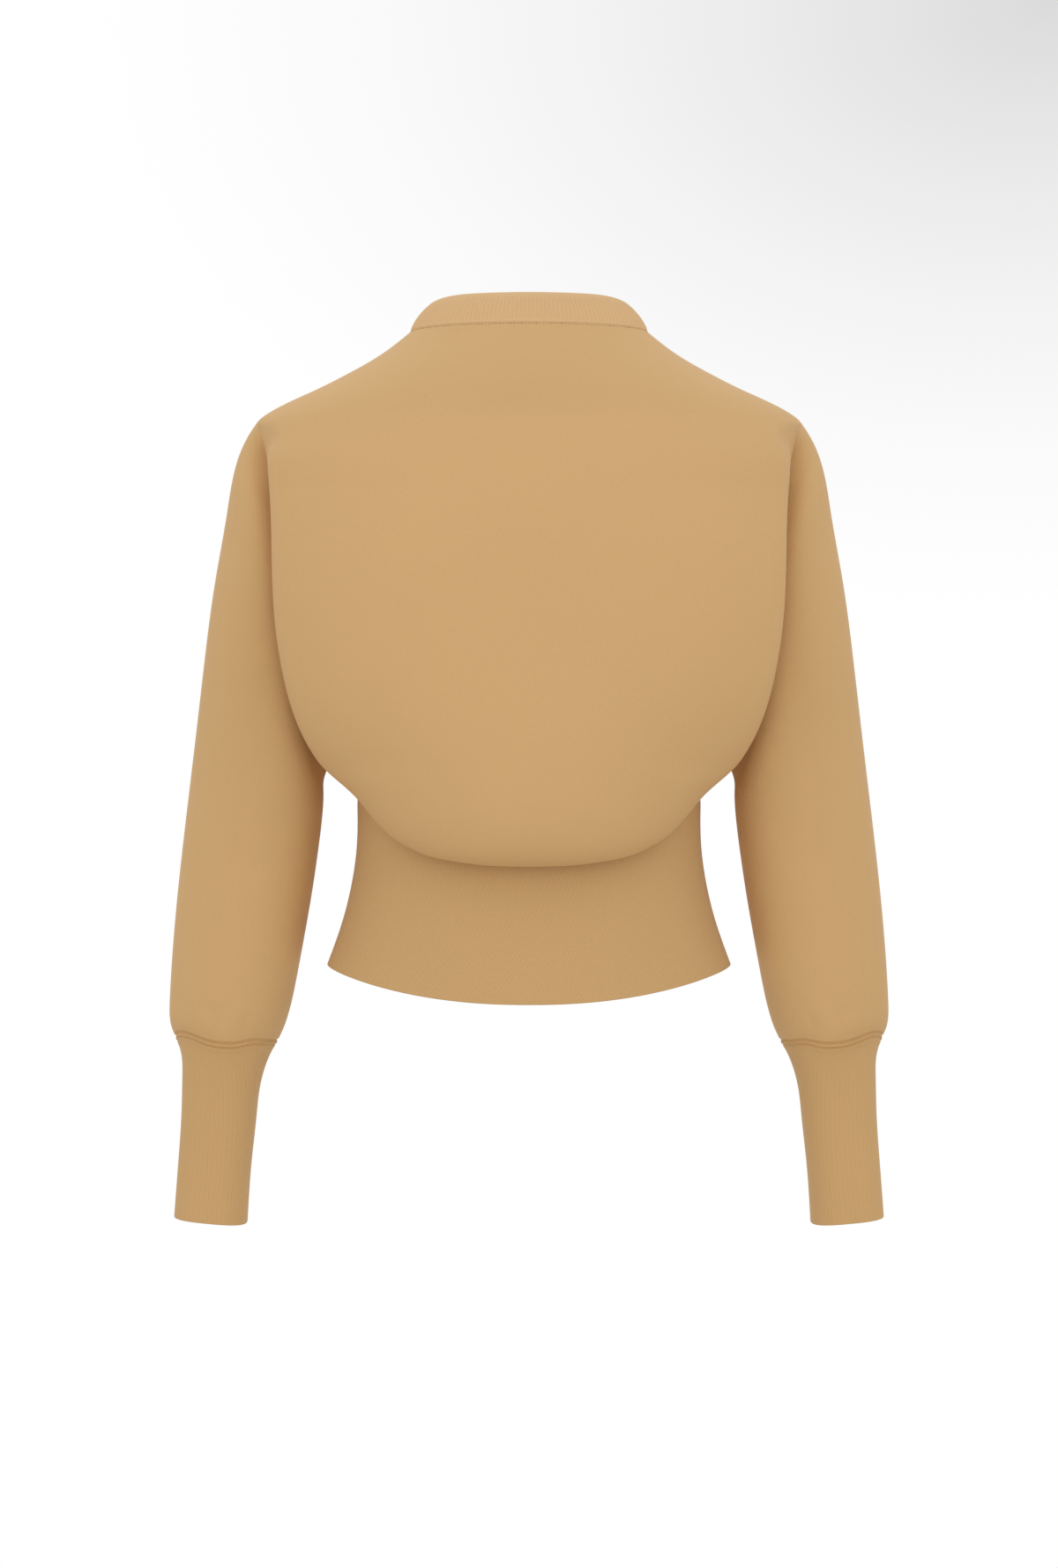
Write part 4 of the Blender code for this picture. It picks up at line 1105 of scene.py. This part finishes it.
points = np.array([point + out * BUTTON_GAP for point, _, _, out in seats])
buttons = line_object("buttons", [(points, np.array([out for *_, out in seats]), False)])
through_nodes(buttons, button_tree(), {"Button": button, "Material": resin()})
for spare in (button, cutter):
    bpy.data.objects.remove(spare)
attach(buttons, "root")
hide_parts(*[f"button_{number}" for number in range(1, 9)])
lines, holes = [], []
turns = np.linspace(0, 2 * math.pi, HOLE_POINTS, endpoint=False)
for point, side, up, out in seats:
    for x in (-1, 1):
        start = point + out * (BUTTON_GAP + BUTTON_HEIGHT * DISH_RISE) + side * x * HOLE_ACROSS
        reach = up * HOLE_ACROSS
        lines.append((np.array([start - reach, start + reach]), np.tile(out, (2, 1)), False))
    straight = (HOLE_LENGTH - HOLE_WIDTH) / 2
    loop = [point + side * HOLE_WIDTH / 2 * math.cos(t) - out * THREAD_SUNK
            + up * (HOLE_WIDTH / 2 * math.sin(t) + math.copysign(straight, math.sin(t))) for t in turns]
    holes.append((np.array(loop), np.tile(out, (len(turns), 1)), True))
button_thread = line_object("button_thread", lines)
sew(button_thread, seam_thread, spacing=0.22, length=0.5, thickness=0.5, unevenness=0.1, seed=2)
buttonholes = line_object("buttonholes", holes)
sew(buttonholes, seam_thread, spacing=0.75, length=1.7, thickness=0.62, unevenness=0.12, seed=5,
    turn=math.pi / 2)
for piece in (button_thread, buttonholes):
    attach(piece, "root")


# ---------------------------------------------------------------- studio
# A white paper room with painted shade greying one corner, and nearly even soft light from all round, a
# little brighter and cooler from above, with two weak lamps. The camera looks level at the back's middle.

ROOM_RADIUS = 6.0
FLOOR = -1.3
CAMERA_AWAY = 2.2
CAMERA_HEIGHT = -0.3322
LENS, SENSOR = 69.6, 36
# Painted shade: the room's glow dimmed to grey in one corner, as an oval seen from the front.
CORNER_X, CORNER_Z, CORNER_FLATNESS, CORNER_REACH = -1.34, 1.675, 1.6, 2.67
CORNER_SOFTNESS, CORNER_PAINTED_SHADE = 1.7, 0.292

room_mesh = bmesh.new()
bmesh.ops.create_uvsphere(room_mesh, u_segments=96, v_segments=64, radius=ROOM_RADIUS)
for vertex in room_mesh.verts:
    vertex.co.z = max(vertex.co.z, FLOOR)
bmesh.ops.remove_doubles(room_mesh, verts=room_mesh.verts, dist=1e-4)
bmesh.ops.recalc_face_normals(room_mesh, faces=room_mesh.faces)
bmesh.ops.reverse_faces(room_mesh, faces=room_mesh.faces)
room_data = bpy.data.meshes.new("room")
room_mesh.to_mesh(room_data)
room_data.shade_smooth()
paper, tree, _ = finish("glowing_white_paper")
tree.nodes.remove(tree.nodes["Principled BSDF"])
spot = add(tree, "ShaderNodeTexCoord").outputs["Object"]
flat = add(tree, "ShaderNodeVectorMath", {"operation": "MULTIPLY"}, {0: spot, 1: (1.0, 0.0, CORNER_FLATNESS)})
corner = add(tree, "ShaderNodeVectorMath", {"operation": "DISTANCE"},
             {0: flat.outputs[0], 1: (CORNER_X, 0.0, CORNER_Z * CORNER_FLATNESS)})
nearness = add(tree, "ShaderNodeMapRange", {},
               {"Value": corner.outputs["Value"], 2: CORNER_REACH, 3: 1.0, 4: 0.0})
# Painted shade: the glow dims towards that corner.
shadow = maths(tree, "POWER", nearness.outputs[0], CORNER_SOFTNESS)
dim = maths(tree, "MULTIPLY_ADD", shadow, -CORNER_PAINTED_SHADE, 1.0)
emit = add(tree, "ShaderNodeEmission", {}, {"Strength": dim})
tree.links.new(emit.outputs[0], tree.nodes["Material Output"].inputs[0])
room_data.materials.append(paper)
room = place("room", room_data)
room.visible_diffuse = room.visible_shadow = False

# The light from all round. Columns of each colour: red, green, blue.
LIGHT_ABOVE = (1.07, 1.10, 1.15)
LIGHT_BELOW = (0.68, 0.63, 0.555)
LIGHT_LEVEL = 0.7
LIGHT_FRONT_AND_BACK = 0.45  # how much more comes level from behind and before the garment
world = bpy.data.worlds.new("soft_room_light")
world.use_nodes = True
tree = world.node_tree
way = add(tree, "ShaderNodeTexCoord").outputs["Generated"]
split = add(tree, "ShaderNodeSeparateXYZ", {}, {0: way})
high = add(tree, "ShaderNodeMapRange", {}, {"Value": split.outputs[2], 1: -1.0, 2: 1.0})
mixed = add(tree, "ShaderNodeMix", {"data_type": "RGBA"},
            {0: high.outputs[0], 6: (*LIGHT_BELOW, 1), 7: (*LIGHT_ABOVE, 1)})
level = maths(tree, "MULTIPLY_ADD", maths(tree, "ABSOLUTE", split.outputs[1]),
              LIGHT_FRONT_AND_BACK, LIGHT_LEVEL)
tree.links.new(mixed.outputs[2], tree.nodes["Background"].inputs[0])
tree.links.new(level, tree.nodes["Background"].inputs[1])
bpy.context.scene.world = world

# Columns: x, y, z, diameter, power, colour.
LAMPS = [
    (0, 1.4, 3.0, 2.2, 5, (1, 0.99, 0.97)),
    (0, -2.4, 2.4, 2.2, 5, (1, 0.99, 0.97)),
]
GARMENT_MIDDLE = mathutils.Vector((0, 0, -0.33))
for number, (x, y, z, diameter, power, colour) in enumerate(LAMPS, 1):
    lamp = bpy.data.lights.new(f"soft_lamp_{number}", "AREA")
    lamp.shape, lamp.size, lamp.energy, lamp.color = "DISK", diameter, power, colour
    lamp_object = place(lamp.name, lamp)
    lamp_object.location = (x, y, z)
    aim = GARMENT_MIDDLE - lamp_object.location
    lamp_object.rotation_euler = aim.to_track_quat("-Z", "Y").to_euler()

camera = bpy.data.cameras.new("camera")
camera.lens, camera.sensor_width = LENS, SENSOR
camera_object = place("camera", camera)
camera_object.location = (0, CAMERA_AWAY, CAMERA_HEIGHT)
camera_object.rotation_euler = (math.pi / 2, 0, math.pi)
bpy.context.scene.camera = camera_object
bpy.context.scene.view_settings.view_transform = "Standard"
bpy.context.scene.view_settings.look = "None"
